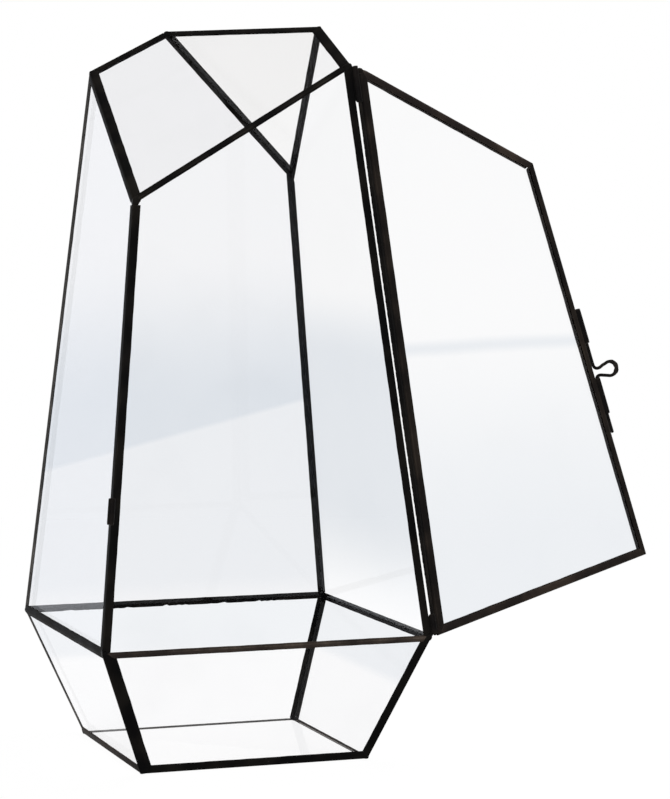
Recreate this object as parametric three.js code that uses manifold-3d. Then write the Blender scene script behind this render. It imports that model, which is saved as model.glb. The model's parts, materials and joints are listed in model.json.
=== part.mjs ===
// A faceted glass terrarium with a hinged front door, about 300 mm tall.
//
// Ten flat panes close a ten-sided body: a small square base, four panes that lean out to a square
// waist, three tall panes that lean in above it, a slanted roof and a small slope behind the roof.
// The front side has no pane of its own. A framed glass door closes it, turning on a wire at its
// right side, and a sliding wire bolt on its left side drops into a tube on the body.
//
// Frame: millimetres, +Z up, +X to the right of the front, +Y to the back. The origin is the middle
// of the base, on the plane that the terrarium stands on. The door is drawn standing open.

import * as THREE from "three";
import { ConvexGeometry } from "three/addons/geometries/ConvexGeometry.js";
import { mergeVertices } from "three/addons/utils/BufferGeometryUtils.js";
import Module from "manifold-3d";

const wasm = await Module();
wasm.setup();

// ---------------------------------------------------------------- driving dimensions, millimetres

// The body's corners lie on the outer faces of the glass.
const BASE_SIDE = 94.7;
const WAIST_SIDE = 135;
const WAIST_HEIGHT = 51.65;
// How far the tall panes lean in for each millimetre of height above the waist.
const LEAN = 0.108;
const FRONT_LEFT_HEIGHT = 227.05;
const SHOULDER_HEIGHT = 280.75;
const BACK_RIGHT_HEIGHT = 238.4;
// From each shoulder up the roof's edge to the ridge.
const RIDGE_SETBACK = 36.85;

const GLASS_THICKNESS = 1.5;
// Free space left at the mitred edge of each pane.
const GLASS_EDGE_GAP = 0.15;
// Angle strips: the bed of adhesive under a leg, the metal, and the space at each mitred end.
const STRIP_BED = 0.15;
const STRIP_METAL = 0.45;
const STRIP_END_GAP = 0.15;
const STRIP_OUTSIDE = STRIP_BED + STRIP_METAL;

// Door: U strips over the edge of a pane.
const DOOR_THICKNESS = 2.2;
const DOOR_LEG = 3.3;
const DOOR_METAL = 0.25;
const DOOR_GLASS_GAP = 0.1;
// From the front plane of the body out to the middle of the door's thickness, when it is shut.
const DOOR_STANDOFF = 2.05;
// From each side of the front opening in to the outer edge of the shut door.
const DOOR_INSET_TOP = 0.5;
const DOOR_INSET_LATCH_SIDE = 0.3;
const DOOR_INSET_BOTTOM = 0.35;
const DOOR_INSET_HINGE_SIDE = 0;
const DOOR_OPEN_ANGLE = THREE.MathUtils.degToRad(205.5);

// Hinge: a wire beside the door turns in two short tubes on the right-hand upright.
const HINGE_WIRE_DIAMETER = 1.3;
const WIRE_SIDES = 12;
const HINGE_WIRE_OFFSET = 1.5;
const HINGE_TUBE_DIAMETER = 2.4;
const HINGE_TUBE_BORE = 1.6;
const HINGE_SEAT_WIDTH = 1;
// Lower and upper ends, measured up the hinge line from the waist. Between the tubes, a run of
// solder joins the wire to the edge of the door.
const HINGE_TUBES = { lower: [1.4, 9.2], upper: [216.8, 231.4] };
const HINGE_WIRE_SPAN = [0.5, 232.2];
const HINGE_SOLDER_SPAN = [13, 213];
const HINGE_SOLDER_WIDTH = 0.7;

// Latch: a bent wire slides in two tubes on the free side of the door.
const BOLT_DIAMETER = 1.2;
const LATCH_TUBE_DIAMETER = 2.8;
const LATCH_TUBE_BORE = 1.6;
const LATCH_AXIS_OFFSET = 1.65;
// Measured up the latch line from the door's lower free corner.
const LOWER_GUIDE = [64, 80];
const UPPER_GUIDE = [95.8, 111.1];
const BOLT_TIP = 55.8;
const BOLT_TOP = 108;
const KEEPER = [50, 60.3];
// The finger loop, measured outwards from the latch line and up from the lower guide's top.
const LOOP_CENTRE = [6.85, 2.1];
const LOOP_RADIUS = 3.05;
const LOOP_START = THREE.MathUtils.degToRad(-120);
const LOOP_END = THREE.MathUtils.degToRad(115);
const LOOP_STEPS = 16;
// Where the bolt's straight ends stop and the curve to the loop starts, below and above the loop.
const LOWER_BEND = -0.6;
const UPPER_BEND = 6.4;
const BOLT_END_POINTS = 3;
const BOLT_STEPS = 110;
// The loop swings a little behind the door's plane, because the wire can turn in its tubes.
const LOOP_TURN = THREE.MathUtils.degToRad(30);
const TUBE_SEGMENTS = 24;

// ------------------------------------------------------------------------------------- materials

const LACQUER = { color: 0x141413, roughness: 0.42, metalness: 0.2 };
const WIRE_LACQUER = { color: 0x1b1918, roughness: 0.38, metalness: 0.3 };
const CLEAR_GLASS = { color: 0xf2f6f4, roughness: 0.03, metalness: 0, transparent: true, opacity: 0.25 };

// -------------------------------------------------------------------------- corners of the body

/** A point above the waist, on the corner of the body with the given signs of x and y. */
function cornerAbove(signX, signY, height) {
  const half = WAIST_SIDE / 2 - LEAN * (height - WAIST_HEIGHT);
  return new THREE.Vector3(signX * half, signY * half, height);
}

/** A corner of a level square, with the given signs of x and y. */
function squareCorner(side, signX, signY, height) {
  return new THREE.Vector3((signX * side) / 2, (signY * side) / 2, height);
}

/** The unit normal of the plane through three points, turned to point away from the body's middle. */
function outwardNormal(a, b, c) {
  const normal = b.clone().sub(a).cross(c.clone().sub(a)).normalize();
  const middle = new THREE.Vector3(0, 0, (WAIST_HEIGHT + FRONT_LEFT_HEIGHT) / 2);
  return a.clone().sub(middle).dot(normal) < 0 ? normal.negate() : normal;
}

const corners = {
  baseFrontLeft: squareCorner(BASE_SIDE, -1, -1, STRIP_OUTSIDE),
  baseFrontRight: squareCorner(BASE_SIDE, 1, -1, STRIP_OUTSIDE),
  baseBackRight: squareCorner(BASE_SIDE, 1, 1, STRIP_OUTSIDE),
  baseBackLeft: squareCorner(BASE_SIDE, -1, 1, STRIP_OUTSIDE),
  waistFrontLeft: squareCorner(WAIST_SIDE, -1, -1, WAIST_HEIGHT),
  waistFrontRight: squareCorner(WAIST_SIDE, 1, -1, WAIST_HEIGHT),
  waistBackRight: squareCorner(WAIST_SIDE, 1, 1, WAIST_HEIGHT),
  waistBackLeft: squareCorner(WAIST_SIDE, -1, 1, WAIST_HEIGHT),
  roofFrontLeft: cornerAbove(-1, -1, FRONT_LEFT_HEIGHT),
  shoulderRight: cornerAbove(1, -1, SHOULDER_HEIGHT),
  shoulderLeft: cornerAbove(-1, 1, SHOULDER_HEIGHT),
  slopeBackRight: cornerAbove(1, 1, BACK_RIGHT_HEIGHT),
};

// The ridge ends where the roof meets the right and back panes, a set distance up from each shoulder.
const roofNormal = outwardNormal(corners.roofFrontLeft, corners.shoulderRight, corners.shoulderLeft);
const rightNormal = outwardNormal(corners.waistFrontRight, corners.waistBackRight, corners.shoulderRight);
const backNormal = outwardNormal(corners.waistBackLeft, corners.waistBackRight, corners.shoulderLeft);
const alongRightEdge = new THREE.Vector3().crossVectors(rightNormal, roofNormal).normalize();
alongRightEdge.multiplyScalar(Math.sign(alongRightEdge.y));
const alongBackEdge = new THREE.Vector3().crossVectors(backNormal, roofNormal).normalize();
alongBackEdge.multiplyScalar(Math.sign(alongBackEdge.x));
corners.ridgeRight = corners.shoulderRight.clone().addScaledVector(alongRightEdge, RIDGE_SETBACK);
corners.ridgeLeft = corners.shoulderLeft.clone().addScaledVector(alongBackEdge, RIDGE_SETBACK);

// Each side of the body lists its corners in order round its edge. The front is the doorway.
const sides = {
  front: ["waistFrontLeft", "waistFrontRight", "shoulderRight", "roofFrontLeft"],
  left: ["waistBackLeft", "waistFrontLeft", "roofFrontLeft", "shoulderLeft"],
  right: ["waistFrontRight", "waistBackRight", "slopeBackRight", "ridgeRight", "shoulderRight"],
  back: ["waistBackRight", "waistBackLeft", "shoulderLeft", "ridgeLeft", "slopeBackRight"],
  roof: ["roofFrontLeft", "shoulderRight", "ridgeRight", "ridgeLeft", "shoulderLeft"],
  rear_slope: ["ridgeLeft", "ridgeRight", "slopeBackRight"],
  lower_front: ["baseFrontLeft", "baseFrontRight", "waistFrontRight", "waistFrontLeft"],
  lower_right: ["baseFrontRight", "baseBackRight", "waistBackRight", "waistFrontRight"],
  lower_back: ["baseBackRight", "baseBackLeft", "waistBackLeft", "waistBackRight"],
  lower_left: ["baseBackLeft", "baseFrontLeft", "waistFrontLeft", "waistBackLeft"],
  base: ["baseFrontLeft", "baseFrontRight", "baseBackRight", "baseBackLeft"],
};

const planes = {};
for (const [name, names] of Object.entries(sides)) {
  const [a, b, c] = names.map((corner) => corners[corner]);
  const normal = outwardNormal(a, b, c);
  planes[name] = { normal, offset: normal.dot(a) };
}

// Every seam: its name, its two corners, and the width of the leg that lies on each of its sides.
// The legs differ because the strips are bent and trimmed by hand: wide at the front, narrow behind.
// Under the base, all four legs are alike.
const BASE_LEG = 1.6;
const seams = [
  ["upright_front_left", "waistFrontLeft", "roofFrontLeft", { left: 4.3, front: 2.6 }],
  ["upright_front_right", "waistFrontRight", "shoulderRight", { right: 2.8, front: 2.7 }],
  ["upright_back_right", "waistBackRight", "slopeBackRight", { right: 0.85, back: 3.1 }],
  ["upright_back_left", "waistBackLeft", "shoulderLeft", { left: 2.2, back: 0.95 }],
  ["waist_front", "waistFrontLeft", "waistFrontRight", { lower_front: 1.75, front: 0.6 }],
  ["waist_right", "waistFrontRight", "waistBackRight", { right: 1.1, lower_right: 1.8 }],
  ["waist_back", "waistBackRight", "waistBackLeft", { back: 1.65, lower_back: 1.3 }],
  ["waist_left", "waistBackLeft", "waistFrontLeft", { left: 2.4, lower_left: 1.7 }],
  ["lower_corner_front_left", "baseFrontLeft", "waistFrontLeft", { lower_front: 4.6, lower_left: 1.2 }],
  ["lower_corner_front_right", "baseFrontRight", "waistFrontRight", { lower_front: 3.2, lower_right: 3 }],
  ["lower_corner_back_right", "baseBackRight", "waistBackRight", { lower_right: 3, lower_back: 2.5 }],
  ["lower_corner_back_left", "baseBackLeft", "waistBackLeft", { lower_back: 0.95, lower_left: 2 }],
  ["base_front", "baseFrontLeft", "baseFrontRight", { lower_front: 3.15, base: BASE_LEG }],
  ["base_right", "baseFrontRight", "baseBackRight", { lower_right: 0.8, base: BASE_LEG }],
  ["base_back", "baseBackRight", "baseBackLeft", { lower_back: 1, base: BASE_LEG }],
  ["base_left", "baseBackLeft", "baseFrontLeft", { lower_left: 3.2, base: BASE_LEG }],
  ["roof_front", "roofFrontLeft", "shoulderRight", { roof: 2.5, front: 0.85 }],
  ["roof_left", "roofFrontLeft", "shoulderLeft", { left: 2.6, roof: 3.2 }],
  ["roof_back", "shoulderLeft", "ridgeLeft", { back: 2, roof: 2.4 }],
  ["roof_right", "shoulderRight", "ridgeRight", { right: 2.6, roof: 3.6 }],
  ["ridge", "ridgeLeft", "ridgeRight", { roof: 2.6, rear_slope: 2.15 }],
  ["rear_slope_left", "ridgeLeft", "slopeBackRight", { back: 2, rear_slope: 1.95 }],
  ["rear_slope_right", "ridgeRight", "slopeBackRight", { right: 2.1, rear_slope: 1.85 }],
];

// ------------------------------------------------------------------ solids cut by flat planes

/** The point where three planes meet, or null where they share a direction. */
function meetingPoint(p, q, r) {
  const qr = new THREE.Vector3().crossVectors(q.normal, r.normal);
  const determinant = p.normal.dot(qr);
  if (Math.abs(determinant) < 1e-6) return null;
  const rp = new THREE.Vector3().crossVectors(r.normal, p.normal);
  const pq = new THREE.Vector3().crossVectors(p.normal, q.normal);
  const point = qr.multiplyScalar(p.offset).addScaledVector(rp, q.offset).addScaledVector(pq, r.offset);
  return point.divideScalar(determinant);
}

/** The closed solid of all points behind every given plane, as a convex geometry. */
function solidBehind(halfSpaces) {
  const points = [];
  for (let i = 0; i < halfSpaces.length; i++) {
    for (let j = i + 1; j < halfSpaces.length; j++) {
      for (let k = j + 1; k < halfSpaces.length; k++) {
        const point = meetingPoint(halfSpaces[i], halfSpaces[j], halfSpaces[k]);
        if (!point) continue;
        const inside = halfSpaces.every((plane) => plane.normal.dot(point) <= plane.offset + 1e-6);
        const fresh = points.every((other) => other.distanceTo(point) > 1e-4);
        if (inside && fresh) points.push(point);
      }
    }
  }
  return new ConvexGeometry(points);
}

/** The half space behind a plane with the given normal through a point, moved out by a distance. */
function behind(normal, point, distance = 0) {
  return { normal, offset: normal.dot(point) + distance };
}

/** The half space in front of a plane, seen from its other side. */
function beyond(normal, point, distance = 0) {
  return behind(normal.clone().negate(), point, -distance);
}

/** The same plane, moved out by a distance. */
function moved(plane, distance) {
  return { normal: plane.normal, offset: plane.offset + distance };
}

/** A closed three.js geometry as a solid that can be joined and cut. */
function toSolid(geometry) {
  const bare = geometry.clone();
  bare.deleteAttribute("normal");
  bare.deleteAttribute("uv");
  const merged = mergeVertices(bare, 1e-4);
  const mesh = new wasm.Mesh({
    numProp: 3,
    vertProperties: new Float32Array(merged.attributes.position.array),
    triVerts: new Uint32Array(merged.index.array),
  });
  return new wasm.Manifold(mesh);
}

/** A solid's surface as a three.js geometry. */
function toGeometry(solid) {
  const mesh = solid.getMesh();
  const geometry = new THREE.BufferGeometry();
  geometry.setAttribute("position", new THREE.BufferAttribute(new Float32Array(mesh.vertProperties), 3));
  geometry.setIndex(new THREE.BufferAttribute(new Uint32Array(mesh.triVerts), 1));
  geometry.computeVertexNormals();
  return geometry;
}

/** Several overlapping closed geometries joined into one. */
function joined(...geometries) {
  const [first, ...rest] = geometries.map(toSolid);
  return toGeometry(rest.reduce((whole, piece) => whole.add(piece), first));
}

/** One named sub-part with its own material. */
function piece(name, geometry, finish) {
  const mesh = new THREE.Mesh(geometry, new THREE.MeshStandardMaterial(finish));
  mesh.name = name;
  return mesh;
}

// --------------------------------------------------------------------------------------- panes

/**
 * A pane of the body: a plate behind its outer face. It is mitred to every pane that it meets, cut
 * square along the doorway, and cut level where it meets the base.
 */
function bodyPane(side) {
  const plane = planes[side];
  const halfSpaces = [plane, beyond(plane.normal, corners[sides[side][0]], -GLASS_THICKNESS)];
  for (const [name, other] of Object.entries(planes)) {
    const shared = sides[name].filter((corner) => sides[side].includes(corner));
    if (name === side || shared.length === 0) continue;
    const point = corners[shared[0]];
    if (name === "base") {
      halfSpaces.push(other);
    } else if (name === "front") {
      const square = other.normal.clone().addScaledVector(plane.normal, -other.normal.dot(plane.normal));
      if (shared.length > 1) halfSpaces.push(behind(square.normalize(), point));
    } else {
      const mitre = other.normal.clone().sub(plane.normal).normalize();
      halfSpaces.push(behind(mitre, point, -GLASS_EDGE_GAP));
    }
  }
  return solidBehind(halfSpaces);
}

/** The base pane lies between the legs of the base strips, its underside level with theirs. */
function basePane() {
  const half = BASE_SIDE / 2 - BASE_LEG - 2 * GLASS_EDGE_GAP;
  const geometry = new THREE.BoxGeometry(2 * half, 2 * half, GLASS_THICKNESS);
  return geometry.translate(0, 0, GLASS_THICKNESS / 2);
}

// -------------------------------------------------------------------------------- angle strips

/** The mitre plane that ends a strip at a corner, on one side, facing away from the strip. */
function endMitre(side, corner, otherEnd) {
  const names = sides[side];
  const index = names.indexOf(corner);
  const around = [names[(index + 1) % names.length], names[(index + names.length - 1) % names.length]];
  const neighbour = around.find((name) => name !== otherEnd);
  const along = corners[otherEnd].clone().sub(corners[corner]).normalize();
  const beside = corners[neighbour].clone().sub(corners[corner]).normalize();
  // The mitre holds the side's normal and the bisector of the two edges.
  const normal = beside.sub(along).normalize();
  return behind(normal, corners[corner], -STRIP_END_GAP);
}

/** One leg of an angle strip: a plate on the outer face of a side, along one of its edges. */
function stripLeg(side, width, otherSide, first, second) {
  const plane = planes[side];
  const along = corners[second].clone().sub(corners[first]).normalize();
  const inward = new THREE.Vector3().crossVectors(plane.normal, along);
  if (inward.dot(planes[otherSide].normal) > 0) inward.negate();
  const halfSpaces = [
    moved(plane, STRIP_OUTSIDE),
    { normal: plane.normal.clone().negate(), offset: -plane.offset - STRIP_BED },
    moved(planes[otherSide], STRIP_OUTSIDE),
    behind(inward, corners[first], width),
  ];
  for (const endSide of [side, otherSide]) {
    halfSpaces.push(endMitre(endSide, first, second), endMitre(endSide, second, first));
  }
  // No strip reaches past the outside of the strips on the other sides.
  for (const [name, other] of Object.entries(planes)) {
    if (name !== side && name !== otherSide) halfSpaces.push(moved(other, STRIP_OUTSIDE));
  }
  return solidBehind(halfSpaces);
}

/** A seam's angle strip: two legs that meet in a fold along the seam. */
function angleStrip(first, second, legs) {
  const [[sideA, widthA], [sideB, widthB]] = Object.entries(legs);
  const legA = stripLeg(sideA, widthA, sideB, first, second);
  const legB = stripLeg(sideB, widthB, sideA, first, second);
  return joined(legA, legB);
}

// ---------------------------------------------------------------------- the door's flat frame

// The shut door lies in a plane in front of the doorway. Its frame has x to the right, y up the
// slope, z outwards, and its origin on the hinge line at the height of the waist.
const doorwayNormal = planes.front.normal;
const doorwayRight = new THREE.Vector3(1, 0, 0);
const doorwayUp = new THREE.Vector3().crossVectors(doorwayNormal, doorwayRight);
const hingeSideEdge = new THREE.Vector3().subVectors(corners.shoulderRight, corners.waistFrontRight);
const hingeDirection = hingeSideEdge.clone().normalize();
const hingePoint = corners.waistFrontRight
  .clone()
  .addScaledVector(new THREE.Vector3().crossVectors(hingeDirection, doorwayNormal), HINGE_WIRE_OFFSET)
  .addScaledVector(doorwayNormal, DOOR_STANDOFF);

/** A corner of the doorway in the door's flat frame. */
function flat(name) {
  const local = corners[name].clone().sub(hingePoint);
  return new THREE.Vector2(local.dot(doorwayRight), local.dot(doorwayUp));
}

/** The line through two points, moved to its right by a distance: a point on it and its direction. */
function lineRightOf(a, b, distance) {
  const direction = b.clone().sub(a).normalize();
  const right = new THREE.Vector2(direction.y, -direction.x);
  return { point: a.clone().addScaledVector(right, distance), direction };
}

/** Where two lines in the flat frame cross. */
function crossing(first, second) {
  const gap = second.point.clone().sub(first.point);
  const t = gap.cross(second.direction) / first.direction.cross(second.direction);
  return first.point.clone().addScaledVector(first.direction, t);
}

/** The corners of a closed outline whose sides are all moved inwards, for sides listed clockwise. */
function insetOutline(points, distances) {
  const lines = points.map((point, i) => lineRightOf(point, points[(i + 1) % points.length], distances[i]));
  return lines.map((line, i) => crossing(lines[(i + lines.length - 1) % lines.length], line));
}

// The door's outer edge, clockwise from the lower latch corner: latch side, top, hinge side, bottom.
const doorway = ["waistFrontLeft", "roofFrontLeft", "shoulderRight", "waistFrontRight"].map(flat);
const doorOutline = insetOutline(doorway, [
  DOOR_INSET_LATCH_SIDE,
  DOOR_INSET_TOP,
  DOOR_INSET_HINGE_SIDE,
  DOOR_INSET_BOTTOM,
]);
const [lowLatchCorner, highLatchCorner, highHingeCorner, lowHingeCorner] = doorOutline;

/** A point of the flat frame lifted to a height above the door's middle plane. */
function lifted(point, z = 0) {
  return new THREE.Vector3(point.x, point.y, z);
}

/** A flat plate between two heights, inside a convex outline whose corners go clockwise. */
function plateInside(outline, low, high, extra = []) {
  const halfSpaces = [behind(new THREE.Vector3(0, 0, 1), lifted(outline[0], high))];
  halfSpaces.push(beyond(new THREE.Vector3(0, 0, 1), lifted(outline[0], low)));
  outline.forEach((point, i) => {
    const direction = outline[(i + 1) % outline.length].clone().sub(point).normalize();
    halfSpaces.push(behind(new THREE.Vector3(-direction.y, direction.x, 0), lifted(point)));
  });
  return solidBehind([...halfSpaces, ...extra]);
}

/** The half spaces that keep a plate within a side's own share of the frame, mitred at both ends. */
function doorSideShare(index, depth) {
  const count = doorOutline.length;
  const start = doorOutline[index];
  const end = doorOutline[(index + 1) % count];
  const direction = end.clone().sub(start).normalize();
  const before = doorOutline[(index + count - 1) % count].clone().sub(start).normalize();
  const after = doorOutline[(index + 2) % count].clone().sub(end).normalize();
  const mitreAtStart = before.sub(direction).normalize();
  const mitreAtEnd = after.add(direction).normalize();
  return [
    behind(new THREE.Vector3(direction.y, -direction.x, 0), lifted(start), depth),
    behind(lifted(mitreAtStart), lifted(start), -STRIP_END_GAP),
    behind(lifted(mitreAtEnd), lifted(end), -STRIP_END_GAP),
  ];
}

/** A U strip over one side of the door: two legs and the web round the edge of the glass. */
function doorStrip(index) {
  const top = DOOR_THICKNESS / 2;
  const legs = doorSideShare(index, DOOR_LEG);
  const web = doorSideShare(index, DOOR_METAL);
  return joined(
    plateInside(doorOutline, top - DOOR_METAL, top, legs),
    plateInside(doorOutline, -top, DOOR_METAL - top, legs),
    plateInside(doorOutline, -top, top, web),
  );
}

/** The door's pane, inside the webs of its strips. */
function doorPane() {
  const inset = DOOR_METAL + DOOR_GLASS_GAP;
  const outline = insetOutline(doorOutline, [inset, inset, inset, inset]);
  return plateInside(outline, -GLASS_THICKNESS / 2, GLASS_THICKNESS / 2);
}

// ------------------------------------------------------------------------------ wires and tubes

/** A round wire along a flat path. */
function wireAlong(points, diameter, steps) {
  const path = new THREE.CatmullRomCurve3(points.map((point) => lifted(point)), false, "centripetal");
  const section = new THREE.Shape();
  section.absarc(0, 0, diameter / 2, 0, 2 * Math.PI);
  return new THREE.ExtrudeGeometry(section, {
    steps,
    curveSegments: WIRE_SIDES / 2,
    extrudePath: path,
    bevelEnabled: false,
  });
}

/** Points round an arc of the flat frame, from one angle to another. */
function arcPoints(centre, radius, from, to, count) {
  return Array.from({ length: count + 1 }, (_, i) => {
    const angle = from + ((to - from) * i) / count;
    return new THREE.Vector2(centre.x + radius * Math.cos(angle), centre.y + radius * Math.sin(angle));
  });
}

/** Evenly spaced points between two points, without the ends. */
function between(a, b, count) {
  return Array.from({ length: count }, (_, i) => a.clone().lerp(b, (i + 1) / (count + 1)));
}

/** The turn about z that brings the y axis to a direction of the flat frame. */
function turnTo(direction) {
  return Math.atan2(direction.y, direction.x) - Math.PI / 2;
}

/** A tube along a line of the flat frame, between two distances from its start. */
function tubeAlong(line, [low, high], diameter, bore) {
  const profile = [
    new THREE.Vector2(bore / 2, low),
    new THREE.Vector2(diameter / 2, low),
    new THREE.Vector2(diameter / 2, high),
    new THREE.Vector2(bore / 2, high),
    new THREE.Vector2(bore / 2, low),
  ];
  const geometry = new THREE.LatheGeometry(profile, TUBE_SEGMENTS);
  geometry.rotateZ(turnTo(line.direction));
  return geometry.translate(line.point.x, line.point.y, 0);
}

// The hinge line passes through the origin of the flat frame.
const hingeLine = {
  point: new THREE.Vector2(0, 0),
  direction: highHingeCorner.clone().sub(lowHingeCorner).normalize(),
};
const latchLine = lineRightOf(lowLatchCorner, highLatchCorner, -LATCH_AXIS_OFFSET);

/** A tube of the latch, between two distances up the latch line. */
function latchTube(span) {
  return tubeAlong(latchLine, span, LATCH_TUBE_DIAMETER, LATCH_TUBE_BORE);
}

/** A box between two heights that reaches from x = 0 to the left, before it is turned into place. */
function solderRun(reach, [low, high], width) {
  const box = new THREE.BoxGeometry(reach, high - low, width);
  return box.translate(-reach / 2, (low + high) / 2, 0);
}

/** The straight hinge wire, with the run of solder that joins it to the edge of the door. */
function hingeWire() {
  const [low, high] = HINGE_WIRE_SPAN;
  const radius = HINGE_WIRE_DIAMETER / 2;
  const wire = new THREE.CylinderGeometry(radius, radius, high - low, WIRE_SIDES);
  wire.translate(0, (low + high) / 2, 0);
  const reach = HINGE_WIRE_OFFSET + DOOR_INSET_HINGE_SIDE - STRIP_BED;
  const solder = solderRun(reach, HINGE_SOLDER_SPAN, HINGE_SOLDER_WIDTH);
  return joined(wire, solder).rotateZ(turnTo(hingeLine.direction));
}

/** A hinge tube with the seat of solder that joins it to the outer fold of the upright. */
function hingeTube(span) {
  const tube = tubeAlong(hingeLine, span, HINGE_TUBE_DIAMETER, HINGE_TUBE_BORE);
  // In section across the hinge line, the upright's outer fold lies left of and behind the tube.
  const foldLeft = HINGE_WIRE_OFFSET - STRIP_OUTSIDE;
  const foldBehind = DOOR_STANDOFF - STRIP_OUTSIDE;
  const reach = Math.hypot(foldLeft, foldBehind) - STRIP_BED;
  const wallMiddle = (HINGE_TUBE_DIAMETER + HINGE_TUBE_BORE) / 4;
  const seat = solderRun(reach - wallMiddle, span, HINGE_SEAT_WIDTH);
  seat.translate(-wallMiddle, 0, 0);
  seat.rotateY(-Math.atan2(foldBehind, foldLeft));
  seat.rotateZ(turnTo(hingeLine.direction));
  return joined(tube, seat);
}

/**
 * The latch bolt: one wire, straight at both ends, bent out into a round finger loop between. It is
 * drawn flat, outwards to the left and up the page, then turned and laid on the latch line.
 */
function latchBolt() {
  const flatPoint = (outwards, up) => new THREE.Vector2(-outwards, up);
  const centre = new THREE.Vector2(...LOOP_CENTRE);
  const loop = arcPoints(centre, LOOP_RADIUS, LOOP_START, LOOP_END, LOOP_STEPS);
  const tip = flatPoint(0, BOLT_TIP - LOWER_GUIDE[1]);
  const lowerBend = flatPoint(0, LOWER_BEND);
  const upperBend = flatPoint(0, UPPER_BEND);
  const top = flatPoint(0, BOLT_TOP - LOWER_GUIDE[1]);
  const points = [
    tip,
    ...between(tip, lowerBend, BOLT_END_POINTS),
    lowerBend,
    flatPoint(0.06, 0),
    flatPoint(0.4, 0.5),
    flatPoint(1.1, 0.78),
    flatPoint(2, 0.74),
    flatPoint(3.1, 0.33),
    ...loop.map((point) => flatPoint(point.x, point.y)),
    flatPoint(4.1, 4.55),
    flatPoint(2.7, 4.02),
    flatPoint(1.5, 4),
    flatPoint(0.6, 4.45),
    flatPoint(0.12, 5.3),
    upperBend,
    ...between(upperBend, top, BOLT_END_POINTS),
    top,
  ];
  const geometry = wireAlong(points, BOLT_DIAMETER, BOLT_STEPS);
  geometry.rotateY(-LOOP_TURN);
  geometry.rotateZ(turnTo(latchLine.direction));
  const seat = latchLine.point.clone().addScaledVector(latchLine.direction, LOWER_GUIDE[1]);
  return geometry.translate(seat.x, seat.y, 0);
}

// ------------------------------------------------------------------------------------ assembly

const terrarium = new THREE.Group();

for (const side of Object.keys(sides)) {
  if (side === "front") continue;
  const geometry = side === "base" ? basePane() : bodyPane(side);
  terrarium.add(piece(`pane_${side}`, geometry, CLEAR_GLASS));
}

for (const [name, first, second, legs] of seams) {
  terrarium.add(piece(`strip_${name}`, angleStrip(first, second, legs), LACQUER));
}

// What the body holds in front of the doorway is placed in the shut door's flat frame.
const shutFrame = new THREE.Quaternion().setFromRotationMatrix(
  new THREE.Matrix4().makeBasis(doorwayRight, doorwayUp, doorwayNormal),
);
const doorwayGroup = new THREE.Group();
doorwayGroup.position.copy(hingePoint);
doorwayGroup.quaternion.copy(shutFrame);
doorwayGroup.add(
  piece("hinge_tube_upper", hingeTube(HINGE_TUBES.upper), WIRE_LACQUER),
  piece("hinge_tube_lower", hingeTube(HINGE_TUBES.lower), WIRE_LACQUER),
  piece("latch_keeper", latchTube(KEEPER), WIRE_LACQUER),
);
terrarium.add(doorwayGroup);

// The door turns from shut to open about the hinge line, which passes through its frame's origin.
const doorGroup = new THREE.Group();
doorGroup.position.copy(hingePoint);
doorGroup.quaternion.setFromAxisAngle(hingeDirection, DOOR_OPEN_ANGLE).multiply(shutFrame);
["latch_side", "top", "hinge_side", "bottom"].forEach((name, index) => {
  doorGroup.add(piece(`door_strip_${name}`, doorStrip(index), LACQUER));
});
doorGroup.add(
  piece("door_pane", doorPane(), CLEAR_GLASS),
  piece("hinge_wire", hingeWire(), WIRE_LACQUER),
  piece("latch_guide_upper", latchTube(UPPER_GUIDE), WIRE_LACQUER),
  piece("latch_guide_lower", latchTube(LOWER_GUIDE), WIRE_LACQUER),
  piece("latch_bolt", latchBolt(), WIRE_LACQUER),
);
terrarium.add(doorGroup);

export default terrarium;
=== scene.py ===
"""Dresses a packed glass terrarium: folded metal strips, solder, a framed door, its hinge and its latch.

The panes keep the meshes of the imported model. Every strip, tube and wire is made again here as a
finer surface in the place of its plain solid, worked out from that solid. Lengths are millimetres
throughout, and become metres where a mesh, a shader, a lamp or the camera is made.
"""

from __future__ import annotations

import json
import logging
import math
from dataclasses import dataclass, field, replace
from enum import Enum

import bpy
import numpy as np
from mathutils import Matrix, Vector

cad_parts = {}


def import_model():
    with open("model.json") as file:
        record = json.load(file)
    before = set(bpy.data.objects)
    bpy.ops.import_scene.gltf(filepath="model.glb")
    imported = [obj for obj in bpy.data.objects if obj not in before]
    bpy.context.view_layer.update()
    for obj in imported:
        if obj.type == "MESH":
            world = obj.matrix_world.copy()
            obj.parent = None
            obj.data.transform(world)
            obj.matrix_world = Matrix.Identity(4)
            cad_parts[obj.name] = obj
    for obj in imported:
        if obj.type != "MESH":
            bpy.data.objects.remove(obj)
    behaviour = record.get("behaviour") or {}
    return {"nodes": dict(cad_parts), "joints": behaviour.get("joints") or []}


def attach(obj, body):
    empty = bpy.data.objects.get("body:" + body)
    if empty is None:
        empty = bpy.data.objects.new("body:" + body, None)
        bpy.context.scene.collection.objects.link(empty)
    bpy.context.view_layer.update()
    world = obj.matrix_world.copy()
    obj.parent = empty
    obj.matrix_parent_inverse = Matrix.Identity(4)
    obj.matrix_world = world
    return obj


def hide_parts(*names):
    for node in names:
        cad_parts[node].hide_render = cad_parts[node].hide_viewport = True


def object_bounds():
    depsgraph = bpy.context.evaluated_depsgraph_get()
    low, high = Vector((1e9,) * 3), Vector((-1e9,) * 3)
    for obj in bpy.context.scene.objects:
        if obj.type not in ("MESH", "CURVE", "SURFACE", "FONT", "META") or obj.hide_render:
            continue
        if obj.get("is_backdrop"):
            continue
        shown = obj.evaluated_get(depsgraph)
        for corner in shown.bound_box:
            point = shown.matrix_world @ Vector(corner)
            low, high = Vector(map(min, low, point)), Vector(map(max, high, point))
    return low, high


LOG = logging.getLogger("terrarium")
MM = 0.001
TO_MM = 1 / MM
Array = np.ndarray
Material = bpy.types.Material
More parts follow.
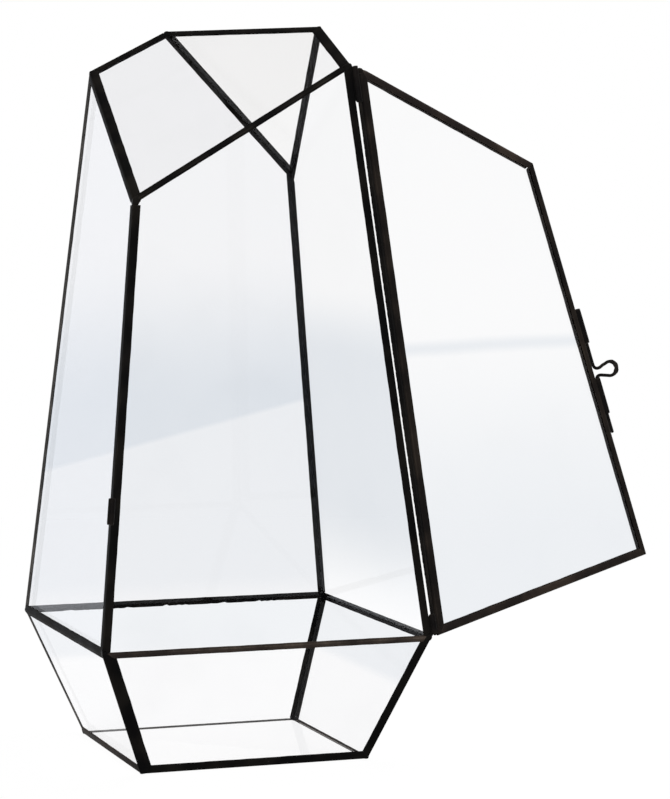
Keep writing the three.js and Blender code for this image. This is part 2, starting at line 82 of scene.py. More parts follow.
Nodes = dict[str, bpy.types.Object]
Span = tuple[float, float]
Triple = tuple[float, float, float]
WHITE: Triple = (1.0, 1.0, 1.0)
BLACK: Triple = (0.0, 0.0, 0.0)


class Slot(Enum):
    """The record's material slots."""

    GLASS = "clear_glass"
    SEAM = "seam_strip"
    DOOR = "door_strip"
    TUBE = "small_tube"
    WIRE = "bent_wire"


class Body(Enum):
    """The bodies that pieces ride on."""

    BODY = "body"
    DOOR = "door"
    BOLT = "bolt"


class Ends(Enum):
    """How a surface made of rings is closed at its first and last ring."""

    LADDER = "the ring's second half lies under its first, and flat rungs join them"
    POLES = "a fan to the middle of the ring"
    JOINED = "the last ring joins the first"


# ------------------------------------------------------------------------------- shapes in numpy


def unit(vectors: Array) -> Array:
    """The vectors, each divided by its length."""
    return vectors / np.linalg.norm(vectors, axis=-1, keepdims=True)


def turns(steps: int) -> Array:
    """Even angles once round."""
    return np.arange(steps) / steps * math.tau


def easing(steps: int) -> Array:
    """The sines of even angles from nothing to a quarter turn, which draw closer towards 1."""
    return np.sin(np.linspace(0, math.pi / 2, steps))


def smooth_rise(values: Array) -> Array:
    """Zero below 0, one above 1, and 3x^2 - 2x^3 between."""
    held = np.clip(values, 0, 1)
    return held * held * (3 - 2 * held)


def calm_ends(shares: Array, parts: float) -> Array:
    """One along the middle, with a smooth rise and fall over one part in so many at each end."""
    return smooth_rise(parts * shares) * smooth_rise(parts * (1 - shares))


def wave(along: Array, seed: int, lengths: tuple[float, ...]) -> Array:
    """An uneven line from -1 to 1: the mean of one sine for each wavelength, with seeded phases."""
    phases = np.random.default_rng(seed).uniform(0, math.tau, len(lengths))
    return np.mean([np.sin(math.tau * along / size + phase) for size, phase in zip(lengths, phases)], axis=0)


def rounded_square(angles: Array, power: float) -> Array:
    """A superellipse in two rows: the signed powers 2/power of each angle's cosine and sine."""
    sides = np.stack([np.cos(angles), np.sin(angles)])
    return np.sign(sides) * np.abs(sides) ** (2 / power)


def moved(start: Array, *moves: tuple[Array, Array]) -> Array:
    """A start moved by distances along directions, each move a pair of the two."""
    return start + sum(far[..., None] * way for far, way in moves)


def quadratic(start: Array, corner: Array, end: Array, shares: Array) -> Array:
    """A bend at each share t: (1-t)^2 start + 2t(1-t) corner + t^2 end."""
    t = shares[..., None]
    return (1 - t) ** 2 * start + 2 * t * (1 - t) * corner + t**2 * end


def distances(points: Array) -> Array:
    """How far along a path each of its points lies."""
    return np.concatenate([[0], np.cumsum(np.linalg.norm(np.diff(points, axis=0), axis=1))])


def evenly(points: Array, spacing: float) -> Array:
    """A path's points moved to even distances along it, by linear interpolation.

    Args:
        points: the path.
        spacing: the wanted distance between points.

    Returns:
        The new points, with the same ends.
    """
    along = distances(points)
    wanted = np.linspace(0, along[-1], max(3, round(along[-1] / spacing) + 1))
    return np.stack([np.interp(wanted, along, axis) for axis in points.T], axis=-1)


def through_points(points: Array, per_span: int) -> Array:
    """A smooth curve through points.

    Between two points it blends the lines through their neighbours, each weighted by the square
    root of the spacing. Both ends are continued by mirroring their neighbour.

    Args:
        points: the points to pass through.
        per_span: how many steps lie between two of them.

    Returns:
        The curve's points.
    """
    padded = np.vstack([2 * points[0] - points[1], points, 2 * points[-1] - points[-2]])
    knots = np.concatenate([[0], np.cumsum(np.sqrt(np.linalg.norm(np.diff(padded, axis=0), axis=1)))])
    spots = [padded[i : i + len(points) - 1][:, None, :] for i in range(4)]
    k = [knots[i : i + len(points) - 1][:, None, None] for i in range(4)]
    t = k[1] + (k[2] - k[1]) * (np.arange(per_span) / per_span)[None, :, None]
    first = [((k[i + 1] - t) * spots[i] + (t - k[i]) * spots[i + 1]) / (k[i + 1] - k[i]) for i in range(3)]
    second = [((k[i + 2] - t) * first[i] + (t - k[i]) * first[i + 1]) / (k[i + 2] - k[i]) for i in range(2)]
    curve = ((k[2] - t) * second[0] + (t - k[1]) * second[1]) / (k[2] - k[1])
    return np.vstack([curve.reshape(-1, padded.shape[1]), points[-1:]])


def ring_faces(rows: int, ring: int, ends: Ends) -> tuple[Array, Array]:
    """The faces that join rings of points into one closed skin.

    Args:
        rows: the number of rings.
        ring: the number of points in each.
        ends: how the first and last ring are closed. With poles, they are the two points that
            follow all rings.

    Returns:
        Its four-sided and three-sided faces, as point numbers.
    """
    index = np.arange(rows * ring).reshape(rows, ring)
    low = index if ends is Ends.JOINED else index[:-1]
    high = np.roll(index, -1, 0) if ends is Ends.JOINED else index[1:]
    quads = [np.stack([low, np.roll(low, -1, 1), np.roll(high, -1, 1), high], -1).reshape(-1, 4)]
    fans = [np.empty((0, 3), int)]
    for row, pole, turn in ((0, rows * ring, 1), (-1, rows * ring + 1, -1)):
        if ends is Ends.LADDER:
            over, under = index[row, : ring // 2], index[row, ::-1][: ring // 2]
            quads.append(np.stack([over[:-1], under[:-1], under[1:], over[1:]], -1)[:, ::turn])
        if ends is Ends.POLES:
            fans.append(np.stack([np.full(ring, pole), np.roll(index[row], -1), index[row]], -1)[:, ::turn])
    return np.vstack(quads), np.vstack(fans)


@dataclass
class Skin:
    """A closed surface made of rings of points, with how worn it is at each."""

    points: Array
    worn: Array | float
    ends: Ends
    # The angle from which an edge is sharp.
    crease: float = math.radians(40)

    def mesh(self, name: str) -> bpy.types.Mesh:
        """The surface as a mesh in metres, with its faces outward and the UV map "run".

        The map's first coordinate is the distance along the rings' middles, its second the distance
        round the ring. The faces are turned over where six times the signed volume, the sum of each
        triangle's triple product, is negative.

        Args:
            name: the mesh's name.

        Returns:
            The mesh.
        """
        rows, ring = self.points.shape[:2]
        quads, fans = ring_faces(rows, ring, self.ends)
        middles = self.points.mean(1)
        along = distances(middles)
        around = np.linalg.norm(np.diff(self.points, axis=1, prepend=self.points[:, :1]), axis=-1).cumsum(1)
        run = np.stack([np.broadcast_to(along[:, None], (rows, ring)), around], -1).reshape(-1, 2)
        spots, worn = self.points.reshape(-1, 3), np.broadcast_to(self.worn, (rows, ring))
        if self.ends is Ends.POLES:
            spots = np.vstack([spots, middles[:1], middles[-1:]])
            worn = np.append(worn, worn[[0, -1]].mean(1))
            run = np.vstack([run, [0, 0], [along[-1], 0]])
        split = np.vstack([quads[:, [0, 1, 2]], quads[:, [0, 2, 3]], fans])
        a, b, c = (spots[split[:, i]] - spots.mean(0) for i in range(3))
        if np.einsum("ij,ij->", a, np.cross(b, c)) < 0:
            quads, fans = quads[:, ::-1], fans[:, ::-1]
        mesh = bpy.data.meshes.new(name)
        mesh.from_pydata((spots * MM).tolist(), [], quads.tolist() + fans.tolist())
        mesh.polygons.foreach_set("use_smooth", np.ones(len(mesh.polygons), bool))
        mesh.set_sharp_from_angle(angle=self.crease)
        worn = worn.astype(np.float32).ravel()
        mesh.attributes.new("worn", "FLOAT", "POINT").data.foreach_set("value", worn)
        corners = np.empty(len(mesh.loops), np.int32)
        mesh.loops.foreach_get("vertex_index", corners)
        mesh.uv_layers.new(name="run").data.foreach_set("uv", (run * MM)[corners].astype(np.float32).ravel())
        mesh.validate()
        return mesh


@dataclass
class Piece:
    """One visible piece: its surface, its finish and what it belongs to."""

    name: str
    skin: Skin
    body: Body
    slot: Slot
    finish: Material
    replaces: tuple[str, ...] = ()

    def place(self) -> None:
        """Puts the piece into the scene, riding on its body."""
        mesh = self.skin.mesh(self.name)
        mesh.materials.append(self.finish)
        made = bpy.data.objects.new(self.name, mesh)
        bpy.context.scene.collection.objects.link(made)
        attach(made, self.body.value)
        if self.replaces:
            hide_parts(*self.replaces)
        LOG.info("%s: %d faces, on %s", self.name, len(mesh.polygons), self.body.value)


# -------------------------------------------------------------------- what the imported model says


@dataclass(frozen=True)
class Plane:
    """A flat face: its outward normal, and its distance from the origin along it."""

    normal: Array
    offset: float


@dataclass(frozen=True)
class Solid:
    """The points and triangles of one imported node."""

    points: Array
    triangles: Array

    @classmethod
    def of(cls, nodes: Nodes, name: str) -> Solid:
        """Reads a node's mesh.

        Args:
            nodes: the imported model's objects by name.
            name: the node.

        Returns:
            Its solid.
        """
        mesh = nodes[name].data
        points = np.empty(3 * len(mesh.vertices), np.float32)
        mesh.vertices.foreach_get("co", points)
        mesh.calc_loop_triangles()
        triangles = np.empty(3 * len(mesh.loop_triangles), np.int32)
        mesh.loop_triangles.foreach_get("vertices", triangles)
        return cls(points.reshape(-1, 3).astype(float) / MM, triangles.reshape(-1, 3))

    def broad_face(self, inside: Array) -> Plane:
        """The plane of the largest triangle that faces away from a point.

        Args:
            inside: the point.

        Returns:
            The plane.
        """
        a, b, c = (self.points[self.triangles[:, i]] for i in range(3))
        normals = np.cross(b - a, c - a)
        outward = np.einsum("ij,ij->i", normals, a - inside) > 0
        best = np.argmax(np.linalg.norm(normals, axis=1) * outward)
        normal = unit(normals[best])
        return Plane(normal, float(a[best] @ normal))

    def line(self, direction: Array | None = None) -> tuple[Array, Array, float]:
        """The middle line of a long solid of even section.

        Args:
            direction: the line's direction where it is known. Otherwise it is the direction in
                which the points spread most.

        Returns:
            The line's middle, its direction and half its length.
        """
        spots = np.unique(self.points.round(3), axis=0)
        if direction is None:
            direction = np.linalg.svd(spots - spots.mean(0))[2][0]
        along = spots @ direction
        middle = spots.mean(0)
        middle = middle + direction * ((along.min() + along.max()) / 2 - middle @ direction)
        return middle, direction, float(np.ptp(along) / 2)


SIDES = ("front", "right", "back", "left")
QUARTERS = (("front", "left"), ("front", "right"), ("back", "right"), ("back", "left"))

# The sides that meet at each corner of the body. The order fixes each corner's seed.
CORNER_SIDES = {
    **{f"base_{one}_{two}": (f"lower_{one}", f"lower_{two}", "base") for one, two in QUARTERS},
    **{f"waist_{one}_{two}": (one, two, f"lower_{one}", f"lower_{two}") for one, two in QUARTERS},
    "roof_front_left": ("front", "left", "roof"),
    "shoulder_right": ("front", "right", "roof"),
    "shoulder_left": ("back", "left", "roof"),
    "slope_back_right": ("back", "right", "rear_slope"),
    "ridge_right": ("right", "roof", "rear_slope"),
    "ridge_left": ("back", "roof", "rear_slope"),
}

# The two sides that each seam joins. The order fixes each strip's seed.
SEAM_SIDES = {
    **{f"upright_{one}_{two}": (two, one) for one, two in QUARTERS},
    "waist_front": ("lower_front", "front"),
    **{f"waist_{side}": (side, f"lower_{side}") for side in SIDES[1:]},
    "lower_corner_front_left": ("lower_front", "lower_left"),
    "lower_corner_front_right": ("lower_front", "lower_right"),
    "lower_corner_back_right": ("lower_right", "lower_back"),
    "lower_corner_back_left": ("lower_back", "lower_left"),
    **{f"base_{side}": (f"lower_{side}", "base") for side in SIDES},
    "roof_front": ("roof", "front"),
    "roof_left": ("left", "roof"),
    "roof_back": ("back", "roof"),
    "roof_right": ("right", "roof"),
    "ridge": ("roof", "rear_slope"),
    "rear_slope_left": ("back", "rear_slope"),
    "rear_slope_right": ("right", "rear_slope"),
}


@dataclass
class Seam:
    """One straight seam between two sides, seen from its first corner."""

    name: str
    sides: tuple[str, str]
    corners: tuple[str, str]
    start: Array
    direction: Array
    length: float
    inward: list[Array]
    widths: list[float]
    proud: float


@dataclass
class BodyShape:
    """The flat sides of the body, the corners where they meet and the seams between them."""

    nodes: Nodes
    # A point inside the body, which every pane's outer face looks away from.
    middle: Triple = (0.0, 0.0, 120.0)
    # A strip's point belongs to the leg on a side where it lies this far in front of that side.
    leg_test: float = 0.1
    planes: dict[str, Plane] = field(init=False)
    corners: dict[str, Array] = field(init=False)
    seams: dict[str, Seam] = field(init=False)

    def __post_init__(self) -> None:
        """Reads the sides from the panes, and the legs of each seam from its strip."""
        glazed = {side for sides in SEAM_SIDES.values() for side in sides} - {"front", "base"}
        inside = np.array(self.middle)
        self.planes = {side: Solid.of(self.nodes, f"pane_{side}").broad_face(inside) for side in glazed}
        # The doorway has no pane. The body is even about its diagonal, so the doorway's plane is
        # the left pane's with x and y exchanged.
        left = self.planes["left"]
        self.planes["front"] = Plane(left.normal[[1, 0, 2]], left.offset)
        floor = Solid.of(self.nodes, "pane_lower_front").points[:, 2].min()
        self.planes["base"] = Plane(np.array([0.0, 0.0, -1.0]), float(-floor))
        self.corners = {name: self._meeting(sides) for name, sides in CORNER_SIDES.items()}
        self.seams = {name: self._seam(name, sides) for name, sides in SEAM_SIDES.items()}

    def _meeting(self, sides: tuple[str, ...]) -> Array:
        """The point nearest to all the named planes, which is where they meet."""
        found = [self.planes[side] for side in sides]
        return np.linalg.lstsq([p.normal for p in found], [p.offset for p in found], rcond=None)[0]

    def spread(self, sides: tuple[str, ...]) -> Array:
        """How a corner or fold moves where each of its sides is raised by one millimetre."""
        normals = [self.planes[side].normal for side in sides]
        return np.linalg.lstsq(normals, np.ones(len(sides)), rcond=None)[0]

    def _seam(self, name: str, sides: tuple[str, str]) -> Seam:
        """Works out one seam.

        Args:
            name: the seam's name.
            sides: the two sides that it joins.

        Returns:
            The seam, with the width that its strip's leg has on each side.
        """
        ends = tuple(corner for corner, around in CORNER_SIDES.items() if set(sides) <= set(around))
        start, end = (self.corners[corner] for corner in ends)
        direction, length = unit(end - start), float(np.linalg.norm(end - start))
        strip = Solid.of(self.nodes, f"strip_{name}").points
        inward, widths, proud = [], [], []
        for side, other in (sides, sides[::-1]):
            across = np.cross(self.planes[side].normal, direction)
            across *= -np.sign(across @ self.planes[other].normal)
            heights = strip @ self.planes[side].normal - self.planes[side].offset
            inward.append(across)
            widths.append(float(((strip - start) @ across)[heights > self.leg_test].max()))
            proud.append(float(heights.max()))
        return Seam(name, sides, ends, start, direction, length, inward, widths, min(proud))

    def fold(self, name: str) -> tuple[Array, Array]:
        """A point on the outer edge of a seam's strip, and the edge's direction."""
        seam = self.seams[name]
        return seam.start + seam.proud * self.spread(seam.sides), seam.direction

    def inner_corner(self, corner: str, side: str) -> Array:
        """Where the inner edges of the two legs that meet at a corner of a side cross.

        With both seams' directions away from the corner, it is each direction times the other
        leg's width, added up and divided by the sine of the angle between them.

        Args:
            corner: the corner.
            side: the side that both legs lie on.

        Returns:
            The crossing, seen from the corner.
        """
        found = [s for s in self.seams.values() if corner in s.corners and side in s.sides]
        first, second = (s.direction * (1 - 2 * s.corners.index(corner)) for s in found)
        widths = [s.widths[s.sides.index(side)] for s in found]
        return (first * widths[1] + second * widths[0]) / np.linalg.norm(np.cross(first, second))


# ------------------------------------------------------------------------------- shader building


class Value:
    """A shader socket that takes part in sums like a number."""

    def __init__(self, bench: Bench, socket: bpy.types.NodeSocket) -> None:
        """Wraps a socket of the bench's node tree."""
        self.bench, self.socket = bench, socket

    def __add__(self, other: Value | float) -> Value:
        """The sum."""
        return self.bench.sum_node("ADD", self, other)

    def __sub__(self, other: Value | float) -> Value:
        """The difference."""
        return self.bench.sum_node("SUBTRACT", self, other)

    def __rsub__(self, other: float) -> Value:
        """A number less this."""
        return self.bench.sum_node("SUBTRACT", other, self)

    def __mul__(self, other: Value | float) -> Value:
        """The product."""
        return self.bench.sum_node("MULTIPLY", self, other)

    def __pow__(self, other: float) -> Value:
        """This to a power."""
        return self.bench.sum_node("POWER", self, other)

    __radd__, __rmul__ = __add__, __mul__

    def rise(self, low: float, high: float) -> Value:
        """Zero below low, one above high, and a smooth step between."""
        return self.bench.add("MapRange", {0: self, 1: low, 2: high}, {"interpolation_type": "SMOOTHSTEP"})


class Bench:
    """Builds the nodes of one material or world."""

    def __init__(self, owner: Material | bpy.types.World) -> None:
        """Starts with an empty node tree.

        Args:
            owner: the material or world.
        """
        owner.use_nodes = True
        self.owner, self.tree = owner, owner.node_tree
        self.tree.nodes.clear()

    def add(
        self, kind: str, given: dict | None = None, settings: dict | None = None, output: int = 0
    ) -> Value:
        """Adds one node.

        Args:
            kind: the node's type, without the words that all shader nodes' types start with.
            given: what goes into its sockets, by name or number: a number, a vector, a colour
                or a Value.
            settings: its own settings, which are set first.
            output: which of its outputs is wanted.

        Returns:
            That output.
        """
        made = self.tree.nodes.new(f"ShaderNode{kind}")
        for name, setting in (settings or {}).items():
            setattr(made, name, setting)
        for name, source in (given or {}).items():
            socket = made.inputs[name]
            if isinstance(source, Value):
                self.tree.links.new(source.socket, socket)
            else:
                socket.default_value = (*source, 1.0) if socket.type == "RGBA" else source
        return Value(self, made.outputs[output])

    def sum_node(self, operation: str, first: Value | float, second: Value | float) -> Value:
        """One Math node."""
        return self.add("Math", {0: first, 1: second}, {"operation": operation})

    def blend(self, share: Value, first: Value | Triple, second: Value | Triple) -> Value:
        """A colour between two: the first where share is 0, the second where it is 1."""
        return self.add("Mix", {0: share, 6: first, 7: second}, {"data_type": "RGBA"}, output=2)

    def place(self) -> Value:
        """The object's own coordinates, in metres."""
        return self.add("TexCoord", output=3)

    def part(self, vector: Value, axis: int) -> Value:
        """One coordinate of a vector."""
        return self.add("SeparateXYZ", {0: vector}, output=axis)

    def noise(self, place: Value, size: float, detail: float = 2.0, roughness: float = 0.5) -> Value:
        """Soft random patches of about the given size, from 0 to 1."""
        given = {"Vector": place, "Scale": TO_MM / size, "Detail": detail, "Roughness": roughness}
        return self.add("TexNoise", given)

    def finish(self, shader: Value) -> Material:
        """Sends a shader to the output.

        Args:
            shader: the shader.

        Returns:
            The material or world that it dresses.
        """
        kind = "World" if isinstance(self.owner, bpy.types.World) else "Material"
        output = self.tree.nodes.new(f"ShaderNodeOutput{kind}")
        self.tree.links.new(shader.socket, output.inputs["Surface"])
        return self.owner


@dataclass(frozen=True)
class Lacquer:
    """Black lacquer brushed over metal: uneven, slightly warm in patches and thin on its arrises."""

    dark: Triple
    warm: Triple
    bare: Triple
    roughness: float = 0.46
    specular: float = 0.012
    patch_size: float = 14.0
    grain_size: float = 0.8
    # How many brush streaks go on a millimetre along the run and across it.
    streak: Triple = (0.12, 1.6, 1.0)
    bump_depth: float = 0.03
    bump_strength: float = 0.5
    # Between which values of the patches it turns warm.
    warm_patches: Span = (0.38, 0.72)
    # How much rubbed edges, grain and patches thin it, and between which sums the metal shows.
    wear: float = 0.8
    grain_wear: float = 0.5
    patch_wear: float = 0.9
    bare_from: Span = (0.5, 1.1)
    # How much patches, streaks and thin places roughen it.
    roughening: Triple = (0.3, 0.22, 0.1)
    # How much streaks, grain and patches raise it.
    raising: Triple = (0.55, 0.45, 0.8)

    def material(self, name: str) -> Material:
        """Builds the finish.

        Patches and grain follow the object's own coordinates, and brush streaks follow the run of
        each strip. The attribute "worn" says where an edge is rubbed.

        Args:
            name: the material's name.

        Returns:
            The material.
        """
        bench = Bench(bpy.data.materials.new(name))
        place = bench.place()
        run = bench.add("UVMap", settings={"uv_map": "run"})
        patches = bench.noise(place, self.patch_size, detail=4.0)
        grain = bench.noise(place, self.grain_size, detail=3.0, roughness=0.6)
        stretched = bench.add("VectorMath", {0: run, 1: self.streak}, {"operation": "MULTIPLY"})
        streaks = bench.noise(stretched, 1.0, detail=3.0)
        rubbed = bench.add("Attribute", settings={"attribute_name": "worn"}, output=2)
        thin = rubbed * self.wear + (grain - 0.5) * self.grain_wear + (patches - 0.5) * self.patch_wear
        thin = thin.rise(*self.bare_from)
        coat = bench.blend(patches.rise(*self.warm_patches), self.dark, self.warm)
        by_patch, by_streak, by_wear = self.roughening
        gloss = self.roughness + (patches - 0.5) * by_patch + (streaks - 0.5) * by_streak + thin * by_wear
        by_streak, by_grain, by_patch = self.raising
        height = streaks * by_streak + grain * by_grain + patches * by_patch
        bumps = {"Strength": self.bump_strength, "Distance": self.bump_depth * MM, "Height": height}
        surface = {
            "Base Color": bench.blend(thin, coat, self.bare),
            "Roughness": gloss,
            "Normal": bench.add("Bump", bumps),
            "Specular IOR Level": self.specular,
        }
        return bench.finish(bench.add("BsdfPrincipled", surface))


class Coat(Enum):
    """The lacquers: each one's dark, warm and bare colour, and what else sets it apart. Some are lighter
    copies that paint sheen or glare onto certain strips.
    """

    SEAM = Lacquer((0.0042, 0.0041, 0.0043), (0.0095, 0.0085, 0.0075), (0.026, 0.023, 0.019))
    DOOR = Lacquer((0.0085, 0.0074, 0.0072), (0.019, 0.015, 0.0125), (0.032, 0.026, 0.021))
    # A lighter, browner copy of the door's lacquer for the door's top and bottom strips. Its brown is the
    # patina's own; its lightness is a painted sheen for the light reflected along those strips.
    BROWN = Lacquer((0.015, 0.0122, 0.0115), (0.034, 0.0255, 0.021), (0.055, 0.042, 0.034))
    # A lighter copy of the seam lacquer: a painted sheen for the light that the doorway's lower strip and
    # two base strips reflect, not wear.
    RUBBED = Lacquer((0.021, 0.017, 0.0155), (0.05, 0.039, 0.032), (0.1, 0.08, 0.066))
    # A pale copy of the seam lacquer: painted glare, for the light that the glass in front of the far strips
    # lays over them.
    PAINTED_GLARE = Lacquer((0.048, 0.046, 0.044), (0.095, 0.088, 0.082), (0.16, 0.15, 0.14))
    SOLDER = Lacquer(
        (0.0042, 0.0041, 0.0043), (0.009, 0.0082, 0.0074), (0.022, 0.02, 0.017),
        roughness=0.36, specular=0.03, grain_size=1.6, bump_depth=0.08, wear=0.6,
    )
    TUBE = Lacquer(
        (0.0055, 0.005, 0.0052), (0.012, 0.0098, 0.0088), (0.035, 0.03, 0.026),
        roughness=0.4, specular=0.03, patch_size=7.0, grain_size=0.5,
    )
    WIRE = Lacquer(
        (0.0055, 0.005, 0.0048), (0.012, 0.0102, 0.009), (0.04, 0.035, 0.03),
        roughness=0.34, specular=0.05, patch_size=6.0, grain_size=0.4, bump_depth=0.02,
    )


Finishes = dict[Coat, Material]


@dataclass(frozen=True)
class ClearGlass:
    """Flat clear glass with painted shade in it, and a mirror's share that grows at glancing angles."""

    # Between which heights over the table the painted shade, for the backdrop's shade seen through the
    # glass, fades out above, and comes in below.
    painted_shade_high: Span = (130.0, 198.0)
    painted_shade_low: Span = (50.0, 64.0)
    painted_shade_depth: float = 0.0
    # Where the painted shade is lighter below a straight, slightly slanted line, and how sharply.
    shade_lifted_below: float = 0.0
    shade_lifted_share: float = 0.0
    shade_lifted_slant: float = -0.24
    shade_lifted_edge: float = 1.5
    # A soft darker line in the painted shade: its height, its half width, its depth and how it wanders.
    line_height: float = 0.0
    line_half: float = 4.5
    line_depth: float = 0.0
    line_wander: float = 4.0
    # How uneven the painted shade is, least and more.
    shade_noise_least: float = 0.8
    shade_noise_more: float = 0.4
    tint: Triple = (0.992, 0.993, 0.996)
    # The colour seen through the painted shade.
    painted_shade_tint: Triple = (0.84, 0.868, 0.902)
    mirror_tint: Triple = (0.96, 0.97, 1.0)
    head_on: float = 0.03
    glancing_gain: float = 0.5
    mirror_roughness: float = 0.012
    # The smudges' size, how many specks go across one, and between which values of the noise both
    # come out.
    smudge_size: float = 38.0
    specks_across: float = 30.0
    smudges_from: Span = (0.5, 0.78)
    specks_from: Span = (0.62, 0.8)
    # How much smudges add to the mirror's share and roughness, and specks in them to the latter.
    smudge_haze: float = 0.012
    smudge_blur: float = 0.12
    speck_blur: float = 0.1

    def material(self, name: str) -> Material:
        """Builds the finish.

        The mirror's share is the head-on share plus a gain times the fifth power of how glancing
        the view is, from 0 to 1. Faint smudges blur the mirror and raise its share.

        Args:
            name: the material's name.

        Returns:
            The material.
        """
        bench = Bench(bpy.data.materials.new(name))
        place = bench.place()
        glancing = bench.add("LayerWeight", {"Blend": 0.5}, output=1)
        smudges = bench.noise(place, self.smudge_size, detail=5.0, roughness=0.62)
        smudges = smudges.rise(*self.smudges_from)
        specks = bench.noise(place, self.smudge_size / self.specks_across).rise(*self.specks_from)
        shade_noise = bench.noise(place, self.smudge_size * 2, detail=3.0)
        height, right = bench.part(place, 2) * TO_MM, bench.part(place, 0) * TO_MM
        slanted = height + right * self.shade_lifted_slant
        shade_lifted = 1 - slanted.rise(self.shade_lifted_below - self.shade_lifted_edge, self.shade_lifted_below + self.shade_lifted_edge)
        # The painted shade: a darker see-through share between two heights, standing in for the backdrop's
        # shade behind the glass.
        painted_shade = height.rise(*self.painted_shade_low) * (1 - height.rise(*self.painted_shade_high))
        painted_shade = painted_shade * (self.shade_noise_least + shade_noise * self.shade_noise_more) * self.painted_shade_depth
        painted_shade = painted_shade * (1 - shade_lifted * self.shade_lifted_share)
        level = height + (shade_noise - 0.5) * self.line_wander
        below = level.rise(self.line_height - self.line_half, self.line_height)
        above = 1 - level.rise(self.line_height, self.line_height + self.line_half)
        painted_shade = painted_shade + below * above * self.line_depth
        plain = bench.add("BsdfTransparent", {"Color": self.tint})
        darker = bench.add("BsdfTransparent", {"Color": self.painted_shade_tint})
        clear = bench.add("MixShader", {0: painted_shade, 1: plain, 2: darker})
        blurred = self.mirror_roughness + smudges * self.smudge_blur + specks * smudges * self.speck_blur
        surface = {"Base Color": self.mirror_tint, "Metallic": 1.0, "Roughness": blurred}
        mirror = bench.add("BsdfPrincipled", surface)
        share = self.head_on + glancing**5.0 * self.glancing_gain + smudges * self.smudge_haze
        return bench.finish(bench.add("MixShader", {0: share, 1: clear, 2: mirror}))


LOWER_GLASS = ClearGlass(tint=(0.997, 0.997, 0.999), head_on=0.01, glancing_gain=0.15)
FAR_GLASS = replace(LOWER_GLASS, painted_shade_high=(60.0, 70.0), painted_shade_low=(29.0, 34.0), painted_shade_depth=0.33)

# The glass of the panes, by what a pane's name starts with. The longest start that fits holds.
# The darker tints of the back pane and the rear slope, and each pane's darker share between two heights, are
# painted shade.
GLASS = {
    "pane": LOWER_GLASS,
    "pane_lower_back": FAR_GLASS,
    "pane_lower_right": FAR_GLASS,
    "pane_back": ClearGlass(
        painted_shade_high=(138.0, 208.0), painted_shade_depth=0.74, tint=(0.97, 0.972, 0.98),
        shade_lifted_below=126.5, shade_lifted_share=0.64,
    ),
    "pane_right": ClearGlass(
        painted_shade_high=(160.0, 192.0), painted_shade_low=(50.0, 100.0), painted_shade_depth=0.57,
        head_on=0.012, glancing_gain=0.2,
    ),
    "pane_left": ClearGlass(tint=WHITE, head_on=0.012, glancing_gain=0.36),
    "pane_roof": ClearGlass(tint=(0.992, 0.991, 0.991), head_on=0.012, glancing_gain=0.18),
    "pane_rear_slope": ClearGlass(tint=(0.96, 0.958, 0.957), head_on=0.015),
    "door_pane": ClearGlass(
        painted_shade_high=(85.0, 184.0), painted_shade_low=(-20.0, -10.0), painted_shade_depth=0.4,
        line_height=167.0, line_depth=0.42,
    ),
}


# ---------------------------------------------------------------------------- the body's pieces


@dataclass
class GlassPanes:
    """The panes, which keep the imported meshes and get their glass."""

    nodes: Nodes

    def build(self) -> None:
        """Gives every pane its glass."""
        finishes = {start: glass.material(f"{start}_glass") for start, glass in GLASS.items()}
        for name, node in self.nodes.items():
            if "pane" in name:
                start = max((start for start in finishes if name.startswith(start)), key=len)
                node.data.materials.clear()
                node.data.materials.append(finishes[start])
                LOG.info("%s: glass", name)


@dataclass(frozen=True)
class ByHand:
    """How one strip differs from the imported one. A pair follows the order of the seam's sides."""

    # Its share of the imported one's height and legs, and how much is trimmed off each leg.
    slim: float = 1.0
    trims: Span = (0.0, 0.0)
    # How jagged each leg's edge is.
    jags: Span = (0.0, 0.0)
    # How far short of its second corner it is cut square.
    square_end: float = -math.inf
    # Its lacquer. The lighter ones that some strips get are painted sheen and painted glare.
    coat: Coat = Coat.SEAM


BY_HAND = {
    # The next three strips get the lighter lacquer, a painted sheen.
    "waist_front": ByHand(coat=Coat.RUBBED),
    "base_left": ByHand(coat=Coat.RUBBED),
    "base_right": ByHand(slim=0.75, coat=Coat.RUBBED),
    # The next three strips, seen through glass, get the pale lacquer, a painted glare.
    "base_back": ByHand(slim=0.5, coat=Coat.PAINTED_GLARE),
    "lower_corner_back_left": ByHand(slim=0.62, coat=Coat.PAINTED_GLARE),
    "upright_back_left": ByHand(coat=Coat.PAINTED_GLARE),
    "upright_back_right": ByHand(trims=(0.0, 0.5)),
    "lower_corner_front_left": ByHand(trims=(0.15, 0.45)),
    "upright_front_left": ByHand(square_end=1.3),
    "waist_back": ByHand(jags=(0.0, 1.1)),
}


